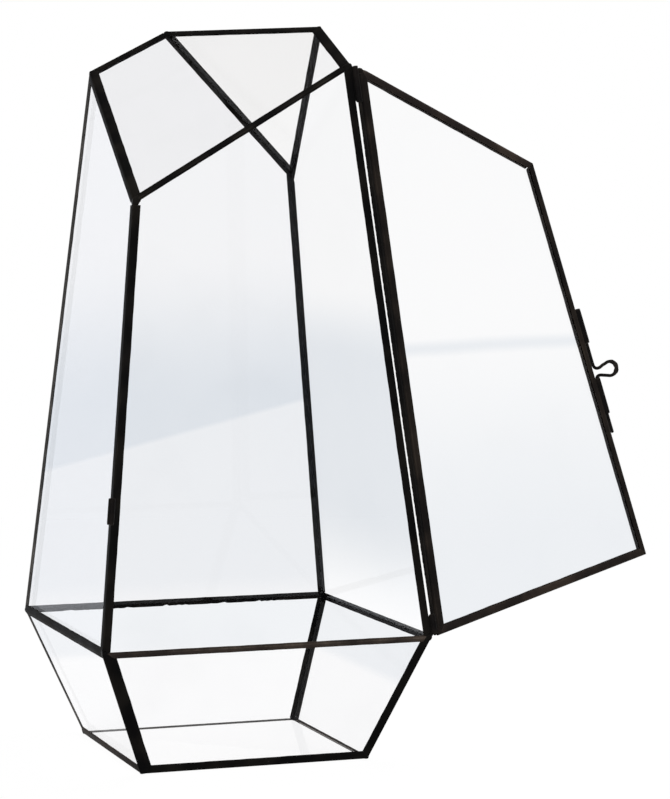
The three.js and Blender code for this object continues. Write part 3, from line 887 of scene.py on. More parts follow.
@dataclass
class SeamStrips:
    """The folded angle strips on the body's seams.

    Across the seam, a strip is two legs and a fold. A leg's outer face falls off at its edge as the
    superellipse h = H (1 - k^p)^(1/p), where k runs from the fold to the edge. The fold is a
    quadratic curve between the legs. Along the seam, the legs' widths waver a little, and each end
    is cut along the line where this leg meets the next one on the same side.
    """

    shape: BodyShape
    finishes: Finishes
    # The height of the underside above the glass, and the metal that is kept at a leg's thin edge.
    underside: float = 0.03
    edge_metal: float = 0.05
    # From the sharp fold to where each leg's flat face starts, outside and inside.
    fold_reach: float = 0.8
    inner_fold_reach: float = 0.1
    squareness: float = 4.5
    # How far a strip's fold falls short of the corner, where solder rounds the joint, and the
    # legs' mean width from which it does so in full.
    corner_cut: float = 1.5
    full_cut_leg: float = 2.6
    leg_steps: int = 9
    fold_steps: int = 5
    row_spacing: float = 1.5
    # How much the legs' widths waver: in all, by their width and whatever their width.
    waver: float = 0.1
    waver_by_width: float = 0.15
    waver_flat: float = 0.6
    waver_lengths: tuple[float, ...] = (71.0, 37.0, 17.0, 9.0)
    calm_parts: float = 5.0
    # A jagged edge is chipped where its wave falls below this.
    chip_seed: int = 90
    chip_level: float = -0.12
    jag_lengths: tuple[float, ...] = (23.0, 9.0, 5.5, 3.1)
    worn_fold: float = 0.85
    worn_power: float = 8.0

    def _bend(self) -> Array:
        """The shares of the fold's points between the legs."""
        return np.arange(1, self.fold_steps + 1) / (self.fold_steps + 1)

    def _across(self, seam: Seam, widths: Array, height: float, reach: float) -> Array:
        """One face of a strip, across the seam, as offsets from it.

        Args:
            seam: the seam.
            widths: both legs' widths in each row, shaped (rows, 2).
            height: the face's height above the glass.
            reach: from the fold to where a leg starts.

        Returns:
            The offsets, shaped (rows, points, 3), from the first leg's edge to the second's.
        """
        shares = easing(self.leg_steps)
        lowest = min(height, self.underside + self.edge_metal)
        heights = lowest + (height - lowest) * (1 - shares**self.squareness) ** (1 / self.squareness)
        sharp = height * self.shape.spread(seam.sides)
        legs = []
        for side, inward in enumerate(seam.inward):
            start = sharp @ inward + reach
            out = start + (widths[:, side, None] - start) * shares
            normal = self.shape.planes[seam.sides[side]].normal
            legs.append(moved(np.zeros(3), (out, inward), (heights, normal)))
        fold = quadratic(legs[0][:, :1], sharp, legs[1][:, :1], self._bend())
        return np.concatenate([legs[0][:, ::-1], fold, legs[1]], axis=1)

    def _cuts(self, seam: Seam, offsets: Array, side: int) -> Array:
        """Where a line along the seam at each offset meets the cuts at both ends.

        With w the way that the corner moves for each millimetre of height and b the mitre's
        direction, a point at height h and at a distance s inwards is cut at h (w . d) + u (b . d)
        along the seam d, where u = (s - h (w . inward)) / (b . inward).

        Args:
            seam: the seam.
            offsets: offsets from the seam's line.
            side: which side's cut it is.

        Returns:
            The distances along the seam at its start and at its end.
        """
        heights = offsets @ self.shape.planes[seam.sides[side]].normal
        found = []
        for corner, beyond in zip(seam.corners, (0, seam.length)):
            spread = self.shape.spread(CORNER_SIDES[corner])
            cut = self.shape.inner_corner(corner, seam.sides[side])
            inwards = offsets @ seam.inward[side] - heights * (spread @ seam.inward[side])
            reach = inwards / (cut @ seam.inward[side])
            found.append(heights * (spread @ seam.direction) + reach * (cut @ seam.direction) + beyond)
        return np.array(found)

    def skin(self, seam: Seam, seed: int) -> Skin:
        """The surface of one strip.

        Args:
            seam: its seam.
            seed: fixes how it wavers.

        Returns:
            The surface.
        """
        work = BY_HAND.get(seam.name, ByHand())
        shares = np.linspace(0, 1, round(seam.length / self.row_spacing) + 1)
        far, calm = shares * seam.length, calm_ends(shares, self.calm_parts)
        chips = np.minimum(wave(far, self.chip_seed + seed, self.jag_lengths) - self.chip_level, 0)
        widths = []
        for side in range(2):
            change = self.waver * wave(far, 2 * seed + side, self.waver_lengths) + work.jags[side] * chips
            width = seam.widths[side] - work.trims[side]
            widths.append(width + (self.waver_by_width * width + self.waver_flat) * change * calm)
        widths = np.stack(widths, axis=-1) * work.slim
        outer = self._across(seam, widths, seam.proud * work.slim, self.fold_reach * work.slim)
        inner = self._across(seam, widths - self.underside, self.underside, self.inner_fold_reach)
        offsets = np.concatenate([outer, inner[:, ::-1]], axis=1)
        # Points on the first leg follow its cuts, those on the second leg follow the second's, and
        # the fold goes from one to the other. The fold is cut shorter, less and less to the edges.
        bend, leg = self._bend(), 1 - easing(self.leg_steps)
        second = np.concatenate([np.zeros(self.leg_steps), bend, np.ones(self.leg_steps)])
        second = np.concatenate([second, second[::-1]])
        ends = self._cuts(seam, offsets, 0) * (1 - second) + self._cuts(seam, offsets, 1) * second
        near_fold = np.concatenate([leg[::-1], np.ones(self.fold_steps), leg])
        deepest = self.corner_cut * min(1.0, float(np.mean(seam.widths)) * work.slim / self.full_cut_leg)
        cut = deepest * np.concatenate([near_fold, near_fold[::-1]]) ** 2
        start, end = ends[0] + cut, np.minimum(ends[1] - cut, seam.length - work.square_end)
        rubbed = np.linspace(1, 0, self.leg_steps) ** self.worn_power
        worn = [rubbed, self.worn_fold * np.sin(math.pi * bend), rubbed[::-1], np.zeros(len(near_fold))]
        points = moved(seam.start + offsets, (start + (end - start) * shares[:, None], seam.direction))
        return Skin(points, np.concatenate(worn), Ends.LADDER)

    def build(self) -> None:
        """Places every strip."""
        for seed, (name, seam) in enumerate(self.shape.seams.items()):
            node = f"strip_{name}"
            finish = self.finishes[BY_HAND.get(name, ByHand()).coat]
            Piece(f"folded_{node}", self.skin(seam, seed), Body.BODY, Slot.SEAM, finish, (node,)).place()


@dataclass
class Lump:
    """A lump of solder over a corner.

    From the corner, its surface lies at the smooth least of one radius for each side: that of an
    ellipsoid as wide as the lump and only as tall as its dome above that side. Where it is buried,
    it shrinks to a small core that lies in the corner of the glass.
    """

    centre: Array
    normals: Array
    heights: Array
    width: float
    seed: int
    # Ways in which it reaches further, as unit vectors, and how far it reaches there.
    fillets: Array = field(default_factory=lambda: np.empty((0, 3)))
    fillet_reach: Array = field(default_factory=lambda: np.empty(0))
    fillet_spread: float = 0.2
    buried: bool = True
    rows: int = 26
    ring: int = 40
    softness: float = 3.6
    # How much ripples change its width and how worn it is, how tight they are and how many.
    unevenness: float = 0.18
    worn: float = 0.35
    worn_ripple: float = 0.5
    ripple_turns: float = 3.2
    ripple_count: int = 6
    # The core's size, how steeply it shrinks to it, and the way from which its rings are turned.
    core: float = 0.12
    sinking: float = 0.1
    rings_from: Triple = (0.31, 0.22, 0.9)
    crease: float = math.radians(60)

    def skin(self, low: Array, high: Array) -> Skin:
        """The lump's surface.

        Args:
            low: the lowest corner of the box that it has to stay in.
            high: the highest.

        Returns:
            The surface.
        """
        pole = unit(self.normals.sum(0))
        side = unit(np.cross(pole, self.rings_from))
        polar = ((np.arange(self.rows) + 0.5) / self.rows * math.pi)[:, None]
        turn = turns(self.ring)
        beside = (np.sin(polar) * np.cos(turn), side), (np.sin(polar) * np.sin(turn), np.cross(pole, side))
        ways = moved(np.zeros(3), (np.cos(polar), pole), *beside)
        draws = np.random.default_rng(self.seed)
        sizes = draws.normal(0, self.ripple_turns, (3, self.ripple_count))
        ripples = np.sin(ways @ sizes + draws.uniform(0, math.tau, self.ripple_count)).mean(-1)
        worn = self.worn + self.worn_ripple * ripples
        near = np.exp(-(1 - ways @ self.fillets.T) / self.fillet_spread)
        further = (near * (self.fillet_reach - self.width)).max(-1, initial=0)
        width = (self.width + further) * (1 + self.unevenness * ripples)
        facing = ways @ self.normals.T
        raised = np.clip(facing, 0, 1)
        domes = 1 / np.sqrt((raised / self.heights) ** 2 + (1 - raised**2) / width[..., None] ** 2)
        reach = (domes**-self.softness).sum(-1) ** (-1 / self.softness)
        if self.buried:
            reach = self.core + (reach - self.core) * smooth_rise(1 + facing.max(-1) / self.sinking)
        room = np.where(ways > 0, high - self.centre, low - self.centre) / np.where(ways == 0, 1e-9, ways)
        reach = np.minimum(reach, np.abs(room).min(-1))
        return Skin(moved(self.centre, (reach, ways)), worn, Ends.POLES, self.crease)


@dataclass
class BodySolder:
    """The soldered joints at the body's corners."""

    shape: BodyShape
    finishes: Finishes
    low: Array
    high: Array
    # How far the lump's dome stands above the glass, just over the strips.
    dome: float = 0.76
    width_share: float = 0.9
    least_width: float = 1.2
    first_seed: int = 300
    # How far it fills the inner corner between two legs.
    fillet: float = 0.75
    # Corners with more or less solder: how many times as wide and as tall.
    heaped: dict[str, Span] = field(
        default_factory=lambda: {
            "waist_front_right": (1.15, 1.25),
            "shoulder_right": (1.15, 1.3),
            "ridge_right": (1.0, 0.86),
            "ridge_left": (1.0, 0.86),
            "shoulder_left": (1.0, 0.86),
        }
    )

    def build(self) -> None:
        """Places a lump on every corner."""
        shape = self.shape
        for seed, (name, sides) in enumerate(CORNER_SIDES.items()):
            legs = [seam.widths for seam in shape.seams.values() if name in seam.corners]
            wider, taller = self.heaped.get(name, (1.0, 1.0))
            width = max(self.least_width, self.width_share * float(np.mean(legs))) * wider
            normals = np.array([shape.planes[side].normal for side in sides])
            heights = np.full(len(sides), self.dome * taller)
            inner = np.array([shape.inner_corner(name, side) for side in sides])
            fillets = unit(inner), np.linalg.norm(inner, axis=1) + self.fillet
            lump = Lump(shape.corners[name], normals, heights, width, self.first_seed + seed, *fillets)
            skin = lump.skin(self.low, self.high)
            Piece(f"solder_{name}", skin, Body.BODY, Slot.SEAM, self.finishes[Coat.SOLDER]).place()


# ---------------------------------------------------------------------------- tubes and wires


@dataclass
class Tube:
    """A short cut tube: a wall whose section is a superellipse, turned round its line."""

    middle: Array
    direction: Array
    half_length: float
    outer: float
    bore: float
    squareness: float = 7.0
    section_steps: int = 36
    turn_steps: int = 48
    # How far it is out of round, and its ends out of square.
    oval: float = 0.015
    skew: float = 0.04
    turned_from: Triple = (0.2, -0.9, 0.1)
    # From which share of its half length its rims are worn, over what share, and how far inwards.
    rim_from: float = 0.9
    rim_over: float = 0.1
    rim_inwards: float = 0.6

    def skin(self, seed: int) -> Skin:
        """The tube's surface: a ring that is joined both ways.

        Args:
            seed: fixes how uneven its wall is.

        Returns:
            The surface.
        """
        side = unit(np.cross(self.direction, self.turned_from))
        turn = turns(self.turn_steps)[:, None]
        outwards, lengthwise = rounded_square(turns(self.section_steps), self.squareness)
        wall, middle = (self.outer - self.bore) / 4, (self.outer + self.bore) / 4
        radius = (middle + wall * outwards) * (1 + self.oval * np.cos(2 * turn + seed))
        along = lengthwise * (self.half_length + self.skew * np.cos(turn + 2 * seed))
        round_it = (radius * np.cos(turn), side), (radius * np.sin(turn), np.cross(self.direction, side))
        points = moved(self.middle, *round_it, (along, self.direction))
        rim = smooth_rise((np.abs(lengthwise) - self.rim_from) / self.rim_over)
        return Skin(points, rim * smooth_rise(outwards + self.rim_inwards), Ends.JOINED)


@dataclass
class Bead:
    """A bead of solder along a tube, between it and what it is soldered to.

    Across, it is an ellipse. Its size falls off to its ends as (1 - x^4)^(1/4).
    """

    middle: Array
    direction: Array
    half_length: float
    toward: Array
    half_reach: float
    half_width: float
    rows: int = 36
    ring: int = 20
    # How near its end rows come to its ends, and how lumpy it is.
    last_row: float = 0.985
    lumps: float = 0.1
    lump_lengths: tuple[float, ...] = (5.0, 2.7, 1.6)
    worn: float = 0.3

    def skin(self, seed: int) -> Skin:
        """The bead's surface.

        Args:
            seed: fixes how lumpy it is.

        Returns:
            The surface.
        """
        place = np.sin(np.linspace(-1, 1, self.rows) * math.pi / 2 * self.last_row)[:, None]
        lumpy = 1 + self.lumps * wave(place * self.half_length, seed, self.lump_lengths)
        size, turn = (1 - place**4) ** 0.25 * lumpy, turns(self.ring)
        reach = size * np.cos(turn) * self.half_reach, self.toward
        beside = size * np.sin(turn) * self.half_width, np.cross(self.direction, self.toward)
        points = moved(self.middle, (place * self.half_length, self.direction), reach, beside)
        return Skin(points, self.worn, Ends.POLES)


@dataclass
class SeatedTube:
    """A short tube, and the bead of solder that joins it to the straight edge nearest to it."""

    name: str
    body: Body
    tube: Tube
    edge: Array
    edge_way: Array
    half_width: float = 0.8
    # How much further the bead runs past the tube's lower end.
    tail: float = 0.0
    # How far the bead is sunk into the tube, reaches over the edge and falls short of both ends.
    sunk: float = 0.3
    over: float = 0.25
    short: float = 0.35

    def build(self, finishes: Finishes, seed: int, bead_seed: int) -> None:
        """Places the tube and its bead.

        Args:
            finishes: the lacquers.
            seed: fixes how uneven the tube is.
            bead_seed: fixes how lumpy the bead is.
        """
        tube, skin = self.tube, self.tube.skin(seed)
        away = self.edge - tube.middle
        for way in (self.edge_way, tube.direction):
            away = away - way * (away @ way)
        reach = float(np.linalg.norm(away))
        toward, inner, outer = away / reach, tube.outer / 2 - self.sunk, reach + self.over
        middle = tube.middle + toward * (inner + outer) / 2 - tube.direction * self.tail / 2
        half = tube.half_length - self.short + self.tail / 2
        bead = Bead(middle, tube.direction, half, toward, (outer - inner) / 2, self.half_width)
        solder, lacquer = finishes[Coat.SOLDER], finishes[Coat.TUBE]
        Piece(f"cut_{self.name}", skin, self.body, Slot.TUBE, lacquer, (self.name,)).place()
        Piece(f"solder_{self.name}", bead.skin(bead_seed), self.body, Slot.TUBE, solder).place()


@dataclass
class Wire:
    """A bent wire: an ellipse carried along a flat path, with domed ends.

    The ellipse's axes lie in the path's plane and square to it, so a flattened stretch is one
    where the first is longer and the second shorter.
    """

    path: Array
    normal: Array
    across: Array
    thick: Array
    worn: Array
    ring: int = 20
    dome_steps: int = 5
    dome_start: float = 0.12

    def skin(self) -> Skin:
        """The wire's surface.

        Returns:
            The surface.
        """
        extra = self.dome_steps - 1
        tangents = unit(np.gradient(self.path, axis=0))
        dome = (np.linspace(self.dome_start, 1, self.dome_steps) * math.pi / 2)[:-1]
        far = [np.cos(dome)[:, None] * self.across[end] * tangents[end] for end in (0, -1)]
        path = np.vstack([self.path[0] - far[0], self.path, (self.path[-1] + far[1])[::-1]])
        shrink = np.concatenate([np.sin(dome), np.ones(len(self.path)), np.sin(dome)[::-1]])
        tangents = np.pad(tangents, ((extra, extra), (0, 0)), mode="edge")
        across, thick, worn = (np.pad(x, extra, mode="edge") for x in (self.across, self.thick, self.worn))
        turn = turns(self.ring)
        beside = (across * shrink)[:, None] * np.cos(turn), np.cross(tangents, self.normal)[:, None, :]
        points = moved(path[:, None, :], beside, ((thick * shrink)[:, None] * np.sin(turn), self.normal))
        return Skin(points, worn[:, None], Ends.POLES)


# ------------------------------------------------------------------------------------- the door


@dataclass
class DoorShape:
    """The door's flat frame, as it stands open, read from its pane and its strips.

    Corner i lies between side i - 1 and side i. Its way is how it moves where both are moved out
    by a millimetre. Its slant is how far its mitre moves along a side for each millimetre inwards,
    the cotangent of half its angle.
    """

    nodes: Nodes
    side_names: tuple[str, ...] = ("latch_side", "top", "hinge_side", "bottom")
    middle: Array = field(init=False)
    normal: Array = field(init=False)
    corners: Array = field(init=False)
    corner_ways: Array = field(init=False)
    slants: Array = field(init=False)
    outward: Array = field(init=False)
    widths: Array = field(init=False)
    half_thickness: float = field(init=False)

    def __post_init__(self) -> None:
        """Works out the outline: each side's outer line, from the strip's farthest points."""
        pane = Solid.of(self.nodes, "door_pane")
        self.middle = np.unique(pane.points.round(3), axis=0).mean(0)
        strips = [Solid.of(self.nodes, f"door_strip_{name}").points for name in self.side_names]
        self.normal = pane.broad_face(self.middle).normal
        self.half_thickness = float(np.abs((strips[0] - self.middle) @ self.normal).max())
        outward, offsets, widths = [], [], []
        for strip in strips:
            flat = strip - self.middle
            flat = flat - np.outer(flat @ self.normal, self.normal)
            along = np.linalg.svd(flat - flat.mean(0))[2][0]
            out = np.cross(along, self.normal)
            out *= np.sign(out @ flat.mean(0))
            outward.append(out)
            offsets.append((flat @ out).max())
            widths.append(np.ptp(flat @ out))
        self.outward, self.widths = np.array(outward), np.array(widths)
        found = []
        for side, out in enumerate(outward):
            rows = [self.normal, outward[side - 1], out]
            found.append(np.linalg.solve(rows, [[0, 0], [offsets[side - 1], 1], [offsets[side], 1]]))
        self.corners = np.array(found)[..., 0] + self.middle
        self.corner_ways = np.array(found)[..., 1]
        cosines = -np.einsum("ij,ij->i", self.outward, np.roll(self.outward, 1, axis=0))
        self.slants = np.sqrt((1 + cosines) / (1 - cosines))

    def side(self, name: str) -> tuple[Array, Array, Array]:
        """Finds one side of the outline.

        Args:
            name: the side.

        Returns:
            Its first corner, its direction and its outward direction.
        """
        place = self.side_names.index(name)
        way = unit(np.roll(self.corners, -1, axis=0)[place] - self.corners[place])
        return self.corners[place], way, self.outward[place]


@dataclass
class DoorFrame:
    """The U strips round the door's pane, and the solder at their corners.

    Across, a strip's outer face is half a rounded square whose open end lies on the pane, and its
    inner face a squarer one that fits over the pane's edge. Both ends are cut to the corner's
    mitre.
    """

    shape: DoorShape
    finishes: Finishes
    # One lacquer for each side. The top and bottom get a lighter, browner copy: its brown tint is the
    # patina's own, its lightness a painted sheen for the light that those strips reflect.
    coats: tuple[Coat, ...] = (Coat.DOOR, Coat.BROWN, Coat.DOOR, Coat.BROWN)
    pane_thickness: float = 1.5
    pane_gap: float = 0.03
    web: float = 0.3
    outer_squareness: float = 3.6
    inner_squareness: float = 24.0
    steps: int = 30
    row_spacing: float = 1.5
    waver: float = 0.1
    waver_lengths: tuple[float, ...] = (63.0, 31.0, 13.0)
    calm_parts: float = 6.0
    strip_seed: int = 500
    # How worn its arrises and rims are, and over which angles from its open side.
    worn: float = 0.9
    arris_spread: float = 0.25
    rim_from: float = 1.35
    rim_over: float = 0.2
    # The top strip falls short of the free corner inside, which leaves a bright notch: how far, and
    # from where on inwards.
    notch: float = 0.75
    notch_from: float = 1.0
    notch_over: float = 2.0
    notch_side: str = "top"
    # The corner by the hinge is rounded off: how far in, and over what length of both its sides.
    tip_side: str = "hinge_side"
    tip_cut: float = 0.85
    tip_reach: float = 4.2
    # The corners' solder: its width, and how far it stands above the strips' faces and edges.
    lump_width: float = 2.3
    lump_proud: float = 0.06
    lump_over: float = 0.02
    lump_seed: int = 700

    def skin(self, side: int) -> Skin:
        """The surface of one strip.

        Args:
            side: its number in the door's outline.

        Returns:
            The surface.
        """
        shape, name = self.shape, self.shape.side_names[side]
        following = (side + 1) % len(shape.corners)
        start, end = shape.corners[side], shape.corners[following]
        direction, length = unit(end - start), float(np.linalg.norm(end - start))
        shares = np.linspace(0, 1, round(length / self.row_spacing) + 1)
        waver = self.waver * calm_ends(shares, self.calm_parts)
        waver = waver * wave(shares * length, self.strip_seed + side, self.waver_lengths)
        width = (shape.widths[side] + waver)[:, None]
        angles = np.linspace(math.pi / 2, -math.pi / 2, self.steps)
        reach, height = rounded_square(angles, self.outer_squareness)
        inner_reach, inner_height = rounded_square(angles, self.inner_squareness)
        slot = self.pane_thickness / 2 + self.pane_gap
        inner = self.web + (width - self.web - self.pane_gap) * (1 - inner_reach)
        inwards = np.concatenate([width * (1 - reach), inner[:, ::-1]], axis=1)
        heights = np.concatenate([height * shape.half_thickness, (inner_height * slot)[::-1]])
        tip = shape.side_names.index(self.tip_side)
        if side in (tip, tip - 1):
            away = length * (shares if side == tip else 1 - shares)
            tuck = self.tip_cut * (1 - smooth_rise(away / self.tip_reach))
            inwards = inwards + tuck[:, None] * (1 - inwards / width)
        cut_start, cut_end = shape.slants[side] * inwards, shape.slants[following] * inwards
        if name == self.notch_side:
            cut_start = cut_start + self.notch * smooth_rise((inwards - self.notch_from) / self.notch_over)
        along = cut_start + (length - cut_end - cut_start) * shares[:, None]
        across = (inwards, -shape.outward[side]), (heights, shape.normal)
        arris = np.exp(-(((np.abs(angles) - math.pi / 4) / self.arris_spread) ** 2))
        rim = smooth_rise((np.abs(angles) - self.rim_from) / self.rim_over)
        worn = np.concatenate([self.worn * np.maximum(arris, rim), np.zeros(self.steps)])
        return Skin(moved(start, *across, (along, direction)), worn, Ends.LADDER)

    def build(self, low: Array, high: Array) -> None:
        """Places the strips and the lumps at their corners.

        Args:
            low: the lowest corner of the box that the lumps stay in.
            high: the highest.
        """
        shape, inset = self.shape, self.lump_width / 2
        depth, edge = shape.half_thickness + self.lump_proud, inset + self.lump_over
        for side, name in enumerate(shape.side_names):
            node = f"door_strip_{name}"
            finish = self.finishes[self.coats[side]]
            Piece(f"folded_{node}", self.skin(side), Body.DOOR, Slot.DOOR, finish, (node,)).place()
            normals = np.array([shape.normal, -shape.normal, shape.outward[side - 1], shape.outward[side]])
            heights = np.array([depth, depth, edge, edge])
            centre = shape.corners[side] - inset * shape.corner_ways[side]
            lump = Lump(centre, normals, heights, self.lump_width, self.lump_seed + side, buried=False)
            solder = f"door_solder_{shape.side_names[side - 1]}_{name}"
            Piece(solder, lump.skin(low, high), Body.DOOR, Slot.DOOR, self.finishes[Coat.DOOR]).place()


@dataclass
class Hinge:
    """The wire that the door turns on, and its two tubes on the body."""

    nodes: Nodes
    door: DoorShape
    body: BodyShape
    point: Array
    axis: Array
    finishes: Finishes
    wire_diameter: float = 1.45
    # The wire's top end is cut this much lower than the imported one's.
    wire_cut: float = 0.6
    wire_step: float = 0.6
    # How worn it is, how much more at both its ends, and over what length.
    worn: float = 0.3
    worn_ends: float = 0.4
    rubbed_length: float = 12.0
    tube_outer: float = 2.4
    tube_bore: float = 1.6
    seat_half_width: float = 0.55
    # How far the lower tube's solder runs down.
    seat_tail: float = 1.3
    # The run of solder between the wire and the door: half its thickness, how far it reaches past
    # the wire's middle and over the door's edge, and how far it stays away from the tubes.
    run_half_width: float = 0.75
    run_past: float = 1.25
    run_over: float = 0.3
    run_clearance: float = 2.5
    run_rows: int = 400
    run_seed: int = 40

    def _line(self, name: str) -> tuple[Array, float]:
        """The middle of a node's line, moved onto the hinge line, and half its length."""
        middle, _, half = Solid.of(self.nodes, name).line(self.axis)
        return self.point + self.axis * ((middle - self.point) @ self.axis), half

    def _wire(self) -> Wire:
        """The straight wire on the hinge line.

        Returns:
            The wire.
        """
        middle, half = self._line("hinge_wire")
        radius = self.wire_diameter / 2
        way = self.axis * (half - radius)
        ends = np.array([middle - way, middle + way - self.axis * self.wire_cut])
        path = evenly(ends, self.wire_step)
        near_end = np.minimum(*(np.linalg.norm(path - end, axis=1) for end in ends))
        worn = self.worn + self.worn_ends * smooth_rise(1 - near_end / self.rubbed_length)
        size = np.full(len(path), radius)
        return Wire(path, self.door.normal, size, size, worn)

    def _solder_run(self, ends: list[Array]) -> Bead:
        """The solder that joins the wire to the edge of the door, between the tubes.

        Args:
            ends: the inner ends of the lower and the upper tube.

        Returns:
            The bead.
        """
        corner, _, out = self.door.side("hinge_side")
        reach = out @ (self.point - corner)
        middle = sum(ends) / 2 - out * (reach + self.run_over - self.run_past) / 2
        half = np.linalg.norm(ends[1] - ends[0]) / 2 - self.run_clearance
        across = (reach + self.run_over + self.run_past) / 2
        return Bead(middle, self.axis, half, out, across, self.run_half_width, rows=self.run_rows)

    def build(self) -> None:
        """Places the wire, the tubes and their solder."""
        skin, finish = self._wire().skin(), self.finishes[Coat.WIRE]
        Piece("bent_hinge_wire", skin, Body.DOOR, Slot.WIRE, finish, ("hinge_wire",)).place()
        edge = self.body.fold("upright_front_right")
        tubes = (("hinge_tube_lower", 1, self.seat_tail), ("hinge_tube_upper", -1, 0.0))
        inner_ends = []
        for seed, (name, way, tail) in enumerate(tubes):
            middle, half = self._line(name)
            inner_ends.append(middle + way * half * self.axis)
            tube = Tube(middle, self.axis, half, self.tube_outer, self.tube_bore)
            seated = SeatedTube(name, Body.BODY, tube, *edge, self.seat_half_width, tail)
            seated.build(self.finishes, seed, seed)
        run, finish = self._solder_run(inner_ends).skin(self.run_seed), self.finishes[Coat.SOLDER]
        Piece("solder_hinge_wire", run, Body.DOOR, Slot.WIRE, finish).place()


@dataclass
class Latch:
    """The wire bolt with its finger loop, its two guides on the door and its keeper on the body.

    The bolt is drawn flat, in distances outwards from the latch line and up from the lower guide's
    top. Its loop is an arc; a smooth curve through the listed points joins it to the straight ends.
    """

    nodes: Nodes
    door: DoorShape
    body: BodyShape
    axis: Array
    finishes: Finishes
    wire_diameter: float = 1.4
    tube_outer: float = 2.8
    tube_bore: float = 1.6
    tip: float = -24.2
    top: float = 28.0
    # The bends from the lower straight to the loop, and from the loop back to the upper straight.
    lower_bend: tuple[Span, ...] = ((0, -0.6), (0.06, 0), (0.4, 0.5), (1.1, 0.78), (2, 0.74), (3.1, 0.33))
    upper_bend: tuple[Span, ...] = ((4.1, 4.55), (2.7, 4.02), (1.5, 4), (0.6, 4.45), (0.12, 5.3), (0, 6.4))
    loop_centre: Span = (6.85, 2.1)
    loop_radius: float = 3.05
    loop_span: Span = (math.radians(-120), math.radians(115))
    # The loop's far side is squeezed flat, for the finger: to what half width and half thickness,
    # from how far past the loop's centre and over what distance.
    grip_width: float = 1.0
    grip_thickness: float = 0.4
    grip_from: float = 0.4
    grip_over: float = 2.2
    # The marks of the pliers: how deep, and how long.
    facet_depth: float = 0.06
    facet_length: float = 2.4
    # How many points the straights and the loop are drawn with, and the steps of the path.
    straight_points: int = 6
    loop_points: int = 17
    curve_steps: int = 12
    path_step: float = 0.3
    # How worn it is, how much more on the bends, and over what distance from the latch line.
    worn: float = 0.35
    worn_bends: float = 0.45
    worn_over: float = 2.0
    # The first seeds of the tubes and their beads, and the seed of the marks.
    tube_seed: int = 5
    bead_seed: int = 9
    facet_seed: int = 11

    def _bolt(self, seat: Array) -> Wire:
        """The bolt's wire.

        Args:
            seat: the point on the latch line at the lower guide's top.

        Returns:
            The wire.
        """
        solid = Solid.of(self.nodes, "latch_bolt").points - seat
        beside = solid - np.outer(solid @ self.axis, self.axis)
        outwards = unit(beside[np.linalg.norm(beside, axis=1).argmax()])
        turn = np.linspace(*self.loop_span, self.loop_points)
        loop = np.stack([np.cos(turn), np.sin(turn)], -1) * self.loop_radius + self.loop_centre
        lower = np.linspace((0, self.tip), self.lower_bend[0], self.straight_points)[:-1]
        upper = np.linspace(self.upper_bend[-1], (0, self.top), self.straight_points)[1:]
        drawn = np.vstack([lower, self.lower_bend, loop, self.upper_bend, upper])
        out, up = evenly(through_points(drawn, self.curve_steps), self.path_step).T
        grip = smooth_rise((out - self.loop_centre[0] - self.grip_from) / self.grip_over)
        half = self.wire_diameter / 2
        facets = 1 + self.facet_depth * grip * np.sign(wave(up, self.facet_seed, (self.facet_length,)))
        across = (half + (self.grip_width - half) * grip) * facets
        thick = half + (self.grip_thickness - half) * grip
        path = moved(seat, (out, outwards), (up, self.axis))
        worn = self.worn + self.worn_bends * smooth_rise(out / self.worn_over)
        return Wire(path, np.cross(outwards, self.axis), across, thick, worn, ring=24)

    def build(self) -> None:
        """Places the bolt, the guides, the keeper and their solder."""
        door_edge, body_edge = self.door.side("latch_side")[:2], self.body.fold("upright_front_left")
        tubes = (
            ("latch_guide_upper", Body.DOOR, door_edge, self.axis),
            ("latch_guide_lower", Body.DOOR, door_edge, self.axis),
            ("latch_keeper", Body.BODY, body_edge, None),
        )
        for seed, (name, body, edge, known) in enumerate(tubes):
            line = Solid.of(self.nodes, name).line(known)
            seated = SeatedTube(name, body, Tube(*line, self.tube_outer, self.tube_bore), *edge)
            seated.build(self.finishes, self.tube_seed + seed, self.bead_seed + seed)
        middle, _, half = Solid.of(self.nodes, "latch_guide_lower").line(self.axis)
        skin, finish = self._bolt(middle + self.axis * half).skin(), self.finishes[Coat.WIRE]
        Piece("bent_latch_bolt", skin, Body.BOLT, Slot.WIRE, finish, ("latch_bolt",)).place()


# ----------------------------------------------------------------------------------- the studio


